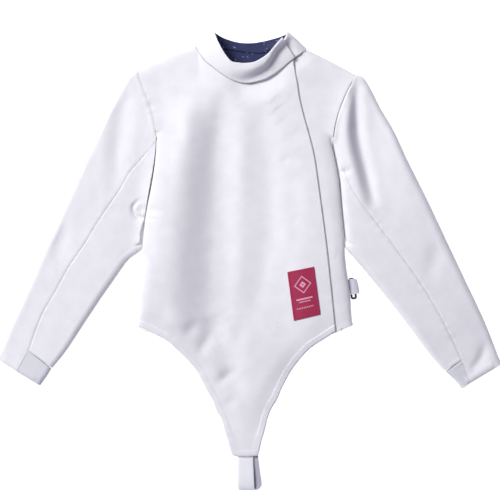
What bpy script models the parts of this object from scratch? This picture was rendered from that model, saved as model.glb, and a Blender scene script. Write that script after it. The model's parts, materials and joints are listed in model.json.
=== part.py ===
# White fencing jacket laid flat on its back: front up, collar towards +Y.
# The wearer's right is at -X. All sizes are in millimetres until a mesh is made.
import bpy
import bmesh
import math
import numpy as np
from mathutils import Vector
from mathutils.bvhtree import BVHTree

mm = 0.001
middleX = 1.5
middleY = -3.0
clothWall = 2.0
collarWall = 2.4
liningWall = 1.2
strapWall = 1.8
webbingWall = 1.3
patchWall = 1.2
seamGap = 0.36
frontSeamHeight = 5.8
tuckedSleeveHeight = 8.0
flapLift = 3.5
flapLiftWidth = 46.0
seamValleyDepth = 1.8
seamValleyWidth = 5.0
hemBandWidth = 12.0
hemBandRise = 0.9
cuffHemWidth = 15.0
loftSpread = 46.0
patchGap = 0.5

# Outline of the body as it lies, x and y
rightSide = [(-206, -124), (-203, -94), (-200, -39), (-195, 17), (-188, 81), (-180, 124),
             (-174, 157), (-170, 191), (-168, 221)]
rightArmhole = [(-168, 221), (-171, 246), (-175, 266), (-180, 282), (-188, 305), (-198, 331),
                (-204, 351)]
rightShoulder = [(-204, 351), (-188, 361), (-173, 368), (-155, 376), (-136, 383), (-118, 390),
                 (-99, 397)]
leftSide = [(195, -122), (193, -113), (189, -60), (183, -18), (180, 22), (178, 49), (174, 87),
            (169, 144), (165, 168), (160, 192), (156, 211)]
leftArmhole = [(156, 211), (158, 231), (162, 253), (168, 275), (176, 295), (186, 317), (200, 341)]
leftShoulder = [(111, 387), (132, 377), (163, 361), (200, 341)]
frontNeck = [(-99, 397), (-91, 382), (-81, 367.5), (-66, 354.5), (-49, 341.5), (-33, 331.5),
             (-16, 325.5), (1, 323.5), (17, 326.5), (34, 332.5), (51, 342.5), (67, 354.5),
             (84, 367)]
flapEdge = [(162, -134), (156, -75), (150, -19), (144, 34), (135, 102), (129, 146), (122, 192),
            (114, 225), (104, 261), (96, 293), (92, 319), (88, 342), (84, 367)]
hemRight = [(-206, -124), (-186, -131), (-168, -141), (-151, -150), (-131, -168), (-112, -187),
            (-97, -205), (-86, -224), (-77, -242), (-66, -261), (-59, -279), (-49, -298),
            (-44, -316), (-38, -335), (-33, -353), (-28, -364)]
hemTip = [(-28, -364), (-14, -366), (6, -366), (19, -364)]
hemLeft = [(19, -364), (22, -353), (26, -335), (32, -316), (36, -298), (43, -279), (54, -261),
           (62, -242), (71, -224), (82, -205), (102, -179), (117, -164), (147, -144), (162, -134)]
underFlapEdge = [(124, -153), (119, -75), (112, -19), (106, 34), (97, 102), (91, 146), (84, 192),
                 (76, 225), (66, 261), (58, 293), (54, 319), (52, 341)]
leftNeck = [(52, 341), (67, 352), (87, 368), (98, 377), (111, 387)]
leftHem = [(124, -153), (162, -136), (180, -128), (195, -122)]
backNeck = [(-99, 397), (-88, 385.5), (-70, 373.6), (-52, 363.6), (-30, 356.8), (-8, 354),
            (12, 354), (34, 356.8), (56, 363.6), (78, 375), (96, 383.6), (111, 387)]
backHem = [(-206, -124), (-130, -136), (-60, -146), (0, -150), (60, -146), (125, -136),
           (195, -122)]

# Outline and seams of the sleeves, shoulder to cuff
rightOuter = [(-204, 351), (-220, 340), (-236, 313), (-257, 276), (-275, 239), (-303, 183),
              (-336, 109), (-371, 35), (-403, -39), (-436, -113), (-451, -150), (-466, -182)]
rightSeam = [(-168, 221), (-182, 203), (-200, 181), (-220, 157), (-236, 129), (-251, 107),
             (-277, 68), (-302, 27), (-329, -12), (-355, -59), (-381, -105), (-405, -169)]
rightInner = [(-163, 213), (-165, 191), (-169, 157), (-175, 124), (-183, 81), (-189, 45),
              (-193, 20), (-220, -2), (-247, -39), (-273, -76), (-301, -118), (-334, -168),
              (-358, -199)]
rightCuffSeam = [(-405, -169), (-416, -188), (-427, -208)]
rightCuffInner = [(-363, -203), (-371, -216), (-384, -234)]
leftOuter = [(200, 341), (212, 338), (228, 313), (247, 276), (269, 239), (295, 183), (332, 109),
             (367, 35), (402, -39), (437, -113), (452, -150), (469, -194)]
leftSeam = [(156, 211), (165, 188), (178, 161), (197, 120), (228, 79), (274, 17), (316, -41),
            (352, -100), (378, -150), (395, -187)]
leftInner = [(151, 204), (155, 190), (160, 165), (164, 144), (169, 87), (173, 49), (178, 24),
             (198, 0), (215, -20), (245, -57), (289, -113), (330, -168), (360, -205)]
leftCuffSeam = [(395, -187), (404, -210), (411, -229)]
leftCuffInner = [(366, -208.5), (385, -226), (396, -240)]

# Height of the upper cloth above the table: x, y, height
loftPoints = [
    (-190, 325, 15), (-140, 352, 15), (-104, 372, 17), (-60, 330, 25), (0, 308, 26.5),
    (60, 330, 26), (100, 360, 18), (150, 352, 15), (190, 322, 15), (-140, 240, 24),
    (-60, 240, 24), (20, 240, 25), (90, 240, 26), (140, 240, 24), (-160, 120, 24),
    (-90, 120, 24), (0, 120, 24), (80, 120, 25), (140, 120, 24), (-170, 0, 24),
    (-100, 0, 24), (0, 0, 24), (80, 0, 25), (150, 0, 23), (-180, -100, 18),
    (-100, -110, 20), (0, -110, 19), (80, -105, 20), (165, -105, 17), (-90, -180, 12),
    (0, -200, 12), (70, -180, 12), (-45, -270, 8.5), (5, -280, 9.5), (35, -265, 8.5),
    (-5, -352, 8),
    (-225, 290, 24), (-255, 200, 29), (-300, 150, 28), (-270, 60, 25), (-330, 40, 27),
    (-300, -40, 24), (-385, -60, 25), (-345, -110, 22), (-435, -160, 18), (-390, -205, 17),
    (222, 285, 24), (250, 200, 28), (295, 140, 28), (250, 40, 25), (325, 40, 27),
    (300, -40, 24), (385, -60, 25), (345, -110, 22), (435, -165, 18), (390, -205, 17)]

# Folds: each row along a fold is x, y, height, half width; troughs are negative
folds = {
    "chest ridge": [(-104, 292, 1, 24), (-108, 257, 8, 30), (-120, 180, 10, 32),
                    (-137, 90, 11, 34), (-150, 0, 12, 36), (-153, -60, 12, 34),
                    (-148, -118, 5, 28)],
    "chest trough": [(-46, 316, 0, 14), (-60, 238, -5, 20), (-58, 140, -7, 25),
                     (-55, 50, -7, 27), (-52, -40, -6, 26), (-62, -108, -4, 22),
                     (-80, -152, 0, 16)],
    "middle ridge": [(2, 300, 0, 14), (-10, 200, 3, 20), (-14, 80, 4.5, 22),
                     (-15, -20, 3.5, 20), (-20, -112, 0, 16)],
    "middle trough": [(24, 292, 0, 14), (38, 196, -3.2, 20), (43, 80, -4.4, 23),
                      (30, -15, -3, 19), (12, -112, 0, 14)],
    "armhole crease": [(-132, 262, 0, 10), (-127, 230, -2.4, 13), (-119, 192, 0, 10)],
    "hem wrinkle one": [(-120, -146, 0, 8), (-104, -128, -2.2, 11), (-88, -110, 0, 9)],
    "hem wrinkle two": [(-97, -184, 0, 8), (-81, -160, -1.8, 10), (-64, -134, 0, 8)],
    "tip wrinkle one": [(-66, -238, 0, 8), (-42, -219, -2, 11), (-16, -200, 0, 9)],
    "tip wrinkle two": [(-46, -277, 0, 8), (-33, -266, -1.3, 9), (-18, -255, 0, 8)],
    "tip trough": [(-8, -104, 0, 10), (-18, -140, -1.6, 14), (-27, -174, 0, 10)],
    "flap hollow": [(66, 210, 0, 14), (78, 150, -2, 18), (88, 66, -1.5, 16), (92, 0, 0, 12)],
    "right sleeve trough": [(-221, 320, 0, 12), (-228, 290, -3, 16), (-239, 220, -4.5, 18),
                            (-243, 160, -3, 16), (-250, 112, 0, 12)],
    "right elbow": [(-330, 70, 0, 12), (-345, 30, -3, 16), (-352, -20, 0, 12)],
    "left sleeve trough": [(206, 300, 0, 12), (213, 250, -5, 16), (219, 190, -7, 17),
                           (223, 130, -6, 17), (229, 90, -2, 13), (238, 60, 0, 10)],
    "left sleeve crease": [(194, 208, 0, 7), (186, 184, -2, 8), (176, 158, 0, 7)],
    "left cuff crease": [(436, -120, 0, 9), (432, -148, -2.4, 11), (424, -176, 0, 9)],
    "left elbow": [(352, 40, 0, 12), (344, 0, -2.6, 16), (330, -36, 0, 12)]}

# Profile of a side edge: inset and height, free of the sleeve and tucked over it
rollSteps = [(0.0, 0.0), (0.15, 0.22), (2.4, 0.62), (7.0, 0.86), (14.0, 0.97), (24.0, 1.0)]
tuckSteps = [(8.0, 9.8), (3.0, 11.0), (0.6, 13.8), (1.2, 17.2), (5.0, 20.6), (13.0, 23.0)]
armSteps = [(0.0, 0.0), (2.0, 0.12), (5.0, 0.32), (10.0, 0.6), (16.0, 0.84), (24.0, 1.0)]
backRollSteps = [(0.0, 5.0), (0.12, 3.2), (1.2, 0.9), (4.0, 0.0), (9.0, 0.0), (16.0, 0.0)]
backTuckSteps = [(8.7, 9.2), (8.8, 5.6), (10.0, 1.4), (13.0, 0.0), (17.0, 0.0), (22.0, 0.0)]
edgeColumns = len(rollSteps)

# Collar, from its free front end round the neck: bottom x y z, top x y z, inset
collarStations = [
    (87, 371, 23.5, 68, 405, 38, 0), (77, 363, 25, 58, 397, 41, 0),
    (64, 352, 26.5, 47, 387, 43, 0), (49, 341, 27.5, 36, 376, 44, 0),
    (33, 332, 28, 24, 367, 44.5, 0), (17, 327, 28, 12, 363, 45, 0),
    (0, 324, 28, -2, 361, 45, 0), (-17, 326, 27.5, -16, 361, 45, 0),
    (-33, 332, 27, -30, 363, 44, 0), (-49, 342, 26, -40, 374, 43, 0),
    (-65, 354, 24, -49, 389, 42, 0), (-80, 367, 20.5, -57, 405, 38, 0),
    (-91, 382, 15, -61, 416, 31, 0), (-96, 394, 8.8, -64, 422, 20, 0),
    (-93, 395.5, 3, -63, 422, 8, 0), (-85, 388, 0.3, -59, 418.5, 1.5, 0),
    (-70, 376, 0, -51, 413, 0, 0), (-52, 366, 0, -40, 408, 0, 0),
    (-30, 359, 0, -24, 403, 0, 0), (-8, 356, 0, -8, 400.5, 0, 0),
    (12, 356, 0, 9, 400.5, 0, 0), (34, 359, 0, 26, 403, 0, 0),
    (56, 366, 0, 43, 407, 0, 0), (78, 378, 0, 59, 411.5, 0, 0),
    (96, 387, 0.3, 69, 416, 1.5, 0), (107, 391, 3, 75, 420.5, 8, 0),
    (109, 387, 8.8, 73, 419, 20, 0.6), (101, 380.5, 13.5, 71.5, 413.5, 28.5, 2.4),
    (90, 373, 19.5, 67.5, 405.5, 34.5, 4.4), (77, 363, 24, 58, 396, 39.5, 4.8),
    (64, 352, 25.6, 47, 386, 41.5, 4.8), (54, 344, 26.4, 39, 378.5, 42.5, 4.8)]
collarLevels = (0.0, 0.1, 0.38, 0.68, 0.92, 1.0)
collarBulge = 1.6
liningFirst = 12
liningLast = 26
liningLevels = (0.02, 0.14, 0.38, 0.66, 0.84, 0.93)

# Patch on the flap: corners, clockwise from its upper left
patchCorners = [(73, -24), (122, -14), (134, -102), (85, -114)]

# Crotch strap: left edge x y, right edge x y, height of its outer face
strapStations = [
    (-18, -342, 9.6, -342, 5.2), (-18, -366, 9.8, -366, 5.3), (-18, -384, 10.3, -384, 6.4),
    (-18, -404, 11.2, -404, 8.0), (-18, -417.5, 12, -418, 7.9), (-17.6, -425, 12.6, -426, 6.2),
    (-15.5, -428, 15.5, -428, 3.8), (-9, -426.5, 21.5, -425.5, 1.2), (-2.4, -419, 26, -419, 0.0),
    (-4.4, -398, 23.4, -398, 0.0), (-8, -369, 19.7, -369, 0.0), (-10.4, -342, 17.2, -342, 0.0),
    (-13, -270, 14.6, -270, 0.0), (-14, -170, 13.6, -170, 0.0), (-14, -160, 13.6, -160, 1.2),
    (-14, -153, 13.6, -153, 2.5), (-14, -136, 13.6, -136, 2.6)]

# Side strap: share of the way out from the side, height of its outer face
sideStrapStart = [(186.6, -39.5), (190.2, -66.6)]
sideStrapFold = [(201.2, -37.5), (204.6, -48.0), (207.2, -63.2)]
sideStrapSteps = [(0.0, 7.8), (0.3, 8.8), (0.62, 9.2), (0.88, 8.4), (1.0, 4.8), (0.9, 1.0),
                  (0.7, 0.0), (0.4, 0.0), (0.1, 0.0)]
sliderTop = (191.2, -34.2)
sliderBottom = (197.0, -74.4)
sliderWidth = 11.0
sliderRim = 3.0
sliderLow = 2.2
sliderThickness = 2.4

clothColour = (0.83, 0.83, 0.87)
elasticColour = (0.80, 0.80, 0.83)
liningColour = (0.035, 0.055, 0.19)
patchColour = (0.62, 0.03, 0.035)
sliderColour = (0.02, 0.02, 0.022)


def smooth(low, high, value):
    share = np.clip((np.asarray(value, float) - low) / (high - low), 0.0, 1.0)
    return share * share * (3.0 - 2.0 * share)


def curveThrough(points, steps=6):
    knots = np.array(points, float)
    chord = np.linalg.norm(np.diff(knots, axis=0), axis=1)
    travel = np.concatenate([[0.0], np.cumsum(chord)])
    slope = np.zeros_like(knots)
    slope[1:-1] = (knots[2:] - knots[:-2]) / (travel[2:] - travel[:-2])[:, None]
    slope[0] = (knots[1] - knots[0]) / chord[0]
    slope[-1] = (knots[-1] - knots[-2]) / chord[-1]
    curve = []
    for k in range(len(chord)):
        for step in range(steps):
            t = step / steps
            a = (1 + 2 * t) * (1 - t) ** 2
            b = t * (1 - t) ** 2 * chord[k]
            c = t * t * (3 - 2 * t)
            d = t * t * (t - 1) * chord[k]
            curve.append(a * knots[k] + b * slope[k] + c * knots[k + 1] + d * slope[k + 1])
    curve.append(knots[-1])
    return np.array(curve)


def joined(*parts):
    curves = [curveThrough(part) for part in parts]
    kept = [curves[0]] + [curve[1:] for curve in curves[1:]]
    return np.concatenate(kept)


def pointsAt(curve, shares):
    length = np.linalg.norm(np.diff(curve, axis=0), axis=1)
    travel = np.concatenate([[0.0], np.cumsum(length)])
    wanted = np.asarray(shares, float) * travel[-1]
    return np.stack([np.interp(wanted, travel, curve[:, k]) for k in range(curve.shape[1])], 1)


def lengthOf(curve):
    return np.linalg.norm(np.diff(curve, axis=0), axis=1).sum()


def distanceTo(curve, x, y):
    nearest = np.full(np.shape(x), 1e9)
    for start, end in zip(curve[:-1, :2], curve[1:, :2]):
        step = end - start
        along = ((x - start[0]) * step[0] + (y - start[1]) * step[1]) / max(step @ step, 1e-9)
        along = np.clip(along, 0.0, 1.0)
        gap = np.hypot(x - start[0] - along * step[0], y - start[1] - along * step[1])
        nearest = np.minimum(nearest, gap)
    return nearest


def foldHeight(rows, x, y):
    table = np.array(rows, float)
    closest = np.full(np.shape(x), 1e9)
    height = np.zeros(np.shape(x))
    for start, end in zip(table[:-1], table[1:]):
        step = end[:2] - start[:2]
        along = ((x - start[0]) * step[0] + (y - start[1]) * step[1]) / (step @ step)
        along = np.clip(along, 0.0, 1.0)
        gap = np.hypot(x - start[0] - along * step[0], y - start[1] - along * step[1])
        reach = gap / (start[3] + along * (end[3] - start[3]))
        rise = (start[2] + along * (end[2] - start[2])) * np.exp(-reach ** 2)
        height = np.where(reach < closest, rise, height)
        closest = np.minimum(closest, reach)
    return height


rightSideLine = curveThrough(rightSide)
leftSideLine = curveThrough(leftSide)
rightArmLine = curveThrough(rightArmhole)
leftArmLine = curveThrough(leftArmhole)
rightSeamLine = curveThrough(rightSeam)
leftSeamLine = curveThrough(leftSeam)
flapLine = curveThrough(flapEdge)
hemLine = joined(hemRight, hemTip, hemLeft)
loftTable = np.array(loftPoints, float)


def clothHeight(x, y):
    weight = 0.0
    total = 0.0
    for px, py, height in loftTable:
        near = np.exp(-((x - px) ** 2 + (y - py) ** 2) / (2 * loftSpread ** 2)) + 1e-12
        weight = weight + near
        total = total + near * height
    top = total / weight
    for rows in folds.values():
        top = top + foldHeight(rows, x, y)
    return top


def bodyTop(x, y):
    top = clothHeight(x, y)
    hemHeight = 5.2 + 9.0 * smooth(-215, -130, y) + 3.0 * smooth(-290, -345, y)
    fromHem = distanceTo(hemLine, x, y)
    top = hemHeight + (top - hemHeight) * smooth(-6, 40, fromHem)
    seam = np.minimum(distanceTo(rightArmLine, x, y), distanceTo(leftArmLine, x, y))
    return top - seamValleyDepth * np.exp(-(seam / seamValleyWidth) ** 2)


def sleeveTop(x, y):
    top = clothHeight(x, y)
    side = np.minimum(distanceTo(rightSideLine[8:], x, y), distanceTo(leftSideLine[16:], x, y))
    top = tuckedSleeveHeight + (top - tuckedSleeveHeight) * smooth(2, 52, side)
    seam = np.minimum(distanceTo(rightSeamLine[8:], x, y), distanceTo(leftSeamLine[8:], x, y))
    top = top - seamValleyDepth * np.exp(-(seam / seamValleyWidth) ** 2) * smooth(20, 60, side)
    arm = np.minimum(distanceTo(rightArmLine, x, y), distanceTo(leftArmLine, x, y))
    return top - seamValleyDepth * np.exp(-(arm / seamValleyWidth) ** 2) * smooth(12, 40, side)


def frontRightTop(x, y):
    lift = flapLift * (1.0 - smooth(flapLiftWidth, 2.1 * flapLiftWidth, distanceTo(flapLine, x, y)))
    band = smooth(0.5, 3.0, distanceTo(hemLine, x, y))
    band = band * (1.0 - smooth(hemBandWidth - 2.0, hemBandWidth, distanceTo(hemLine, x, y)))
    return bodyTop(x, y) + lift + hemBandRise * band


def patchGrid(bottom, top, left, right, across, along):
    u = np.asarray(across)[None, :, None]
    v = np.asarray(along)[:, None, None]
    ruled = (1 - v) * bottom[None] + v * top[None] + (1 - u) * left[:, None] + u * right[:, None]
    corner = (1 - u) * (1 - v) * bottom[0] + u * (1 - v) * bottom[-1]
    corner = corner + (1 - u) * v * top[0] + u * v * top[-1]
    return ruled - corner


def mixedShares(curve, blend):
    step = np.diff(curve, axis=0)
    length = np.concatenate([[0.0], np.cumsum(np.hypot(step[:, 0], step[:, 1]))])
    width = np.concatenate([[0.0], np.cumsum(np.abs(step[:, 0]))])
    return blend * length / length[-1] + (1 - blend) * width / width[-1]


def pointsByMix(parts, shares, blend):
    curve = joined(*parts)
    share = mixedShares(curve, blend)
    known = [0.0]
    wanted = [0.0]
    corner = 0
    for part in parts[:-1]:
        corner += 6 * (len(part) - 1)
        nearest = shares[np.argmin(abs(shares - share[corner]))]
        if nearest <= known[-1]:
            nearest = shares[shares > known[-1]][0]
        known.append(nearest)
        wanted.append(share[corner])
    moved = np.interp(shares, known + [1.0], wanted + [1.0])
    return np.stack([np.interp(moved, share, curve[:, k]) for k in range(2)], 1)


def setMaterial(obj, slot, colour, roughness):
    surface = bpy.data.materials.get(slot)
    if surface is None:
        surface = bpy.data.materials.new(slot)
        surface.use_nodes = True
        shader = surface.node_tree.nodes["Principled BSDF"]
        shader.inputs["Base Color"].default_value = (*colour, 1.0)
        shader.inputs["Roughness"].default_value = roughness
        shader.inputs["Metallic"].default_value = 0.0
    obj.data.materials.append(surface)


def placed(x, y, z):
    return Vector(((x - middleX) * mm, (y - middleY) * mm, z * mm))


def makeSheet(name, grid, wall, slot, colour, flip=False, roughness=0.85):
    rows, columns = grid.shape[:2]
    shape = bmesh.new()
    corners = [shape.verts.new(placed(*point)) for point in grid.reshape(-1, 3)]
    for r in range(rows - 1):
        for c in range(columns - 1):
            k = r * columns + c
            quad = [corners[k], corners[k + 1], corners[k + columns + 1], corners[k + columns]]
            shape.faces.new(quad[::-1] if flip else quad)
    for face in shape.faces:
        face.smooth = True
    mesh = bpy.data.meshes.new(name)
    shape.to_mesh(mesh)
    shape.free()
    obj = bpy.data.objects.new(name, mesh)
    bpy.context.scene.collection.objects.link(obj)
    thick = obj.modifiers.new("cloth wall", "SOLIDIFY")
    thick.thickness = wall * mm
    thick.offset = -1.0
    thick.use_rim = True
    setMaterial(obj, slot, colour, roughness)
    return obj


def movedInward(grid, distance):
    down = np.gradient(grid, axis=0)
    over = np.gradient(grid, axis=1)
    normal = np.cross(over, down)
    normal = normal / np.maximum(np.linalg.norm(normal, axis=2, keepdims=True), 1e-9)
    return grid - normal * np.asarray(distance)[:, None, None]


def bodyGrid(bottom, top, left, right, across, along, blend):
    bottomPoints = pointsByMix(bottom, across, blend)
    topPoints = pointsByMix(top, across, blend)
    leftPoints = pointsAt(left, along)
    rightPoints = pointsAt(right, along)
    return patchGrid(bottomPoints, topPoints, leftPoints, rightPoints, across, along)


def insetColumns(plan, steps, fromLeft=True):
    rows = plan.shape[0]
    moved = plan.copy()
    order = range(edgeColumns) if fromLeft else range(-1, -edgeColumns - 1, -1)
    edge = plan[:, 0] if fromLeft else plan[:, -1]
    inner = plan[:, edgeColumns] if fromLeft else plan[:, -edgeColumns - 1]
    way = inner - edge
    way = way / np.linalg.norm(way, axis=1, keepdims=True)
    for k, column in enumerate(order):
        moved[:, column] = edge + way * np.broadcast_to(steps[k], rows)[:, None]
    return moved


def edgeWeights(edge, armStart):
    tucked = smooth(-8, 24, edge[:, 1])
    arm = smooth(armStart, armStart + 17, edge[:, 1])
    return tucked, arm


def frontEdgeInsets(edge, armStart):
    tucked, arm = edgeWeights(edge, armStart)
    steps = []
    for k in range(edgeColumns):
        free = (1 - tucked) * rollSteps[k][0] + tucked * tuckSteps[k][0]
        steps.append((1 - arm) * free + arm * armSteps[k][0])
    return steps


def frontEdgeHeights(edge, armStart, top, k):
    tucked, arm = edgeWeights(edge, armStart)
    rolled = frontSeamHeight + (top - frontSeamHeight) * rollSteps[k][1]
    tuck = tuckSteps[k][1] + (top - 24.0) * smooth(1.5, 5, k)
    armEdge = sleeveTop(edge[:, 0], edge[:, 1]) + 1.2
    arms = armEdge + (top - armEdge) * armSteps[k][1]
    return (1 - arm) * ((1 - tucked) * rolled + tucked * tuck) + arm * arms


def neckHeights(x, drop):
    table = [(row[0], row[2]) for row in collarStations[:14]]
    table.sort()
    return np.interp(x, [row[0] for row in table], [row[1] for row in table]) - drop


def shareList(first, last, length, count):
    start = [step / length for step in first]
    end = [1.0 - step / length for step in last[::-1]]
    between = np.linspace(start[-1], end[0], count + 2)[1:-1]
    return np.array(start + list(between) + end)


def buildFrontRight():
    left = joined(rightSide, rightArmhole)
    top = [rightShoulder, frontNeck]
    across = shareList([0, 1, 3, 7, 14, 24], [0, 3.5, 11], 350.0, 19)
    along = shareList([0, 3, 10, 12.5], [0, 0.2, 2.4, 7, 14], 500.0, 22)
    plan = bodyGrid([hemRight, hemTip, hemLeft], top, left, flapLine, across, along, 0.5)
    edge = plan[:, 0].copy()
    plan = insetColumns(plan, frontEdgeInsets(edge, 221))
    height = frontRightTop(plan[..., 0], plan[..., 1])
    for k in range(edgeColumns):
        height[:, k] = frontEdgeHeights(edge, 221, height[:, k], k)
    neckLine = curveThrough(frontNeck)
    shoulderLine = curveThrough(rightShoulder)
    x = plan[..., 0]
    y = plan[..., 1]
    atShoulder = 1.0 - smooth(-114, -94, x)
    fromShoulder = distanceTo(shoulderLine, x, y)
    rollShare = np.interp(fromShoulder, [step[0] for step in rollSteps[1:]],
                          [step[1] for step in rollSteps[1:]])
    rollShare = np.where(fromShoulder < 0.05, 0.0, rollShare)
    rollShare = 1.0 - atShoulder * (1.0 - rollShare) * smooth(200, 330, y)
    height = frontSeamHeight + (height - frontSeamHeight) * rollShare
    nearNeck = (1.0 - smooth(0, 24, distanceTo(neckLine, x, y))) * (1.0 - atShoulder)
    height = height + nearNeck * (neckHeights(x, 0.6) - height)
    return makeSheet("front_right", np.dstack([plan, height]), clothWall, "jacket_cloth",
                     clothColour)


def buildFrontLeft():
    right = joined(leftSide, leftArmhole)
    top = [leftNeck, leftShoulder]
    bottom = [leftHem]
    left = curveThrough(underFlapEdge)
    across = shareList([0, 18], [0, 1, 3, 7, 14, 24], 90.0, 4)
    along = shareList([0, 3, 10, 12.5], [0, 0.2, 2.4, 7, 14], 500.0, 21)
    plan = bodyGrid(bottom, top, left, right, across, along, 1.0)
    edge = plan[:, -1].copy()
    plan = insetColumns(plan, frontEdgeInsets(edge, 211), fromLeft=False)
    x = plan[..., 0]
    y = plan[..., 1]
    height = bodyTop(x, y)
    for k in range(edgeColumns):
        height[:, -1 - k] = frontEdgeHeights(edge, 211, height[:, -1 - k], k)
    shoulderLine = curveThrough(leftShoulder)
    neckLine = curveThrough(leftNeck)
    atShoulder = smooth(100, 120, x)
    fromShoulder = distanceTo(shoulderLine, x, y)
    rollShare = np.interp(fromShoulder, [step[0] for step in rollSteps[1:]],
                          [step[1] for step in rollSteps[1:]])
    rollShare = np.where(fromShoulder < 0.05, 0.0, rollShare)
    rollShare = 1.0 - atShoulder * (1.0 - rollShare) * smooth(200, 330, y)
    height = frontSeamHeight + (height - frontSeamHeight) * rollShare
    nearNeck = (1.0 - smooth(0, 24, distanceTo(neckLine, x, y))) * (1.0 - atShoulder)
    neck = np.interp(x, [52, 67, 87, 98, 111], [22.4, 21.6, 18.6, 13.5, 6.5])
    height = height + nearNeck * (neck - height)
    return makeSheet("front_left", np.dstack([plan, height]), clothWall, "jacket_cloth",
                     clothColour)


def buildBack():
    left = joined(rightSide, rightArmhole)
    right = joined(leftSide, leftArmhole)
    top = [rightShoulder, backNeck, leftShoulder]
    bottom = [backHem]
    across = shareList([0, 1, 2, 5, 9, 16], [0, 1, 2, 5, 9, 16], 370.0, 11)
    along = shareList([0, 12], [0, 0.15, 1.4, 5, 9], 490.0, 15)
    plan = bodyGrid(bottom, top, left, right, across, along, 0.6)
    height = np.zeros(plan.shape[:2])
    for fromLeft, armStart in ((True, 221), (False, 211)):
        edge = plan[:, 0 if fromLeft else -1].copy()
        tucked, arm = edgeWeights(edge, armStart)
        steps = []
        for k in range(edgeColumns):
            free = (1 - tucked) * backRollSteps[k][0] + tucked * backTuckSteps[k][0]
            steps.append((1 - arm) * free + arm * (seamGap + armSteps[k][0]))
        plan = insetColumns(plan, steps, fromLeft)
        for k in range(edgeColumns):
            column = k if fromLeft else -1 - k
            rise = (1 - tucked) * backRollSteps[k][1] + tucked * backTuckSteps[k][1]
            height[:, column] = (1 - arm) * rise
    x = plan[..., 0]
    y = plan[..., 1]
    shoulders = np.minimum(distanceTo(curveThrough(rightShoulder), x, y),
                           distanceTo(curveThrough(leftShoulder), x, y))
    atShoulder = (1.0 - smooth(-112, -99, x)) + smooth(111, 124, x)
    rise = np.interp(shoulders, [step[0] for step in backRollSteps[:4]],
                     [step[1] for step in backRollSteps[:4]])
    height = np.maximum(height, rise * atShoulder * (y > 320))
    return makeSheet("back", np.dstack([plan, height]), clothWall, "jacket_cloth", clothColour,
                     flip=True)


def foldedPanel(name, seamPoints, foldPoints, shares, head=None, headWay=0.0, drop=0.0,
                hemRise=0.0, slot="jacket_cloth", colour=clothColour, topCount=8):
    way = foldPoints - seamPoints
    width = np.linalg.norm(way, axis=1)
    way = way / width[:, None]
    ease = np.linspace(0.0, 1.0, topCount) ** 1.25
    angles = np.radians([0, 22, 50, 90, 130, 158, 180])
    back = (0.55, 0.0)
    rows = []
    for i, share in enumerate(shares):
        probe = seamPoints[i] + way[i] * (width[i] - min(12.0, 0.45 * width[i]))
        high = float(sleeveTop(probe[0], probe[1])) - drop
        radius = min(0.62 * high, 0.45 * width[i])
        flat = width[i] - radius
        first = seamGap / 2
        places = [(first + (flat - first) * t, None) for t in ease[:-1]]
        places += [(flat + radius * math.sin(a), 0.5 * (1 + math.cos(a))) for a in angles]
        places += [(first + (flat - first) * t, 0.0) for t in back]
        row = []
        for place, level in places:
            x, y = seamPoints[i] + way[i] * place
            if head is not None:
                t = place / width[i]
                straight = head[0] + (head[-1] - head[0]) * t
                bow = pointsAt(head, [t])[0] - straight
                fade = max(0.0, 1.0 - share / 0.22)
                x = x + bow[0] * fade + headWay * seamGap * max(0.0, 1.0 - share / 0.05)
                y = y + bow[1] * fade
            top = float(sleeveTop(x, y)) - drop
            top = top + hemRise * float(smooth(1.0 - cuffHemWidth / 560.0, 0.979, share))
            if level is None:
                settle = float(smooth(0.5, 1.0, place / flat))
                z = top + (high - top) * settle
            else:
                z = high * level
            row.append((x, y, z))
        rows.append(row)
    grid = np.array(rows)
    step = grid[1, 0] - grid[0, 0]
    over = grid[0, 1] - grid[0, 0]
    facesUp = over[0] * step[1] - over[1] * step[0] > 0
    return makeSheet(name, grid, clothWall, slot, colour, flip=not facesUp)


def buildSleeve(side, seam, outer, inner, cuffSeam, cuffInner, head, headWay):
    underLength = lengthOf(curveThrough(seam))
    whole = joined(seam, cuffSeam)
    wholeLength = lengthOf(whole)
    under = shareList([0, 4, 12], [0, 3, 10], underLength, 12) * underLength / wholeLength
    cuffStart = (underLength + 0.45) / wholeLength
    cuff = cuffStart + (1.0 - cuffStart) * np.array([0.0, 0.32, 0.64, 0.9, 1.0])
    upper = np.concatenate([under, cuff[1:]])
    foldedPanel("sleeve_upper_" + side, pointsAt(whole, upper),
                pointsAt(curveThrough(outer), upper), upper, head=head, headWay=headWay,
                hemRise=1.0)
    foldedPanel("sleeve_under_" + side, pointsAt(whole, under),
                pointsAt(curveThrough(inner), under / under[-1]), under / under[-1],
                topCount=6)
    cuffShare = (cuff - cuff[0]) / (1.0 - cuff[0])
    foldedPanel("cuff_inset_" + side, pointsAt(whole, cuff),
                pointsAt(curveThrough(cuffInner), cuffShare), cuffShare, drop=2.4,
                slot="elastic", colour=elasticColour, topCount=5)


def buildSleeves():
    buildSleeve("right", rightSeam, rightOuter, rightInner, rightCuffSeam, rightCuffInner,
                rightArmLine, -1.0)
    buildSleeve("left", leftSeam, leftOuter, leftInner, leftCuffSeam, leftCuffInner,
                leftArmLine, 1.0)


def collarGrid(levels):
    table = np.array(collarStations, float)
    level = np.array(levels)[None, :, None]
    grid = table[:, None, :3] * (1 - level) + table[:, None, 3:6] * level
    outward = grid - movedInward(grid, np.ones(len(table)))
    swell = collarBulge * 4 * level[..., 0] * (1 - level[..., 0]) * smooth(2, 16, grid[..., 2])
    return grid + outward * swell[..., None], table[:, 6]


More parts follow.
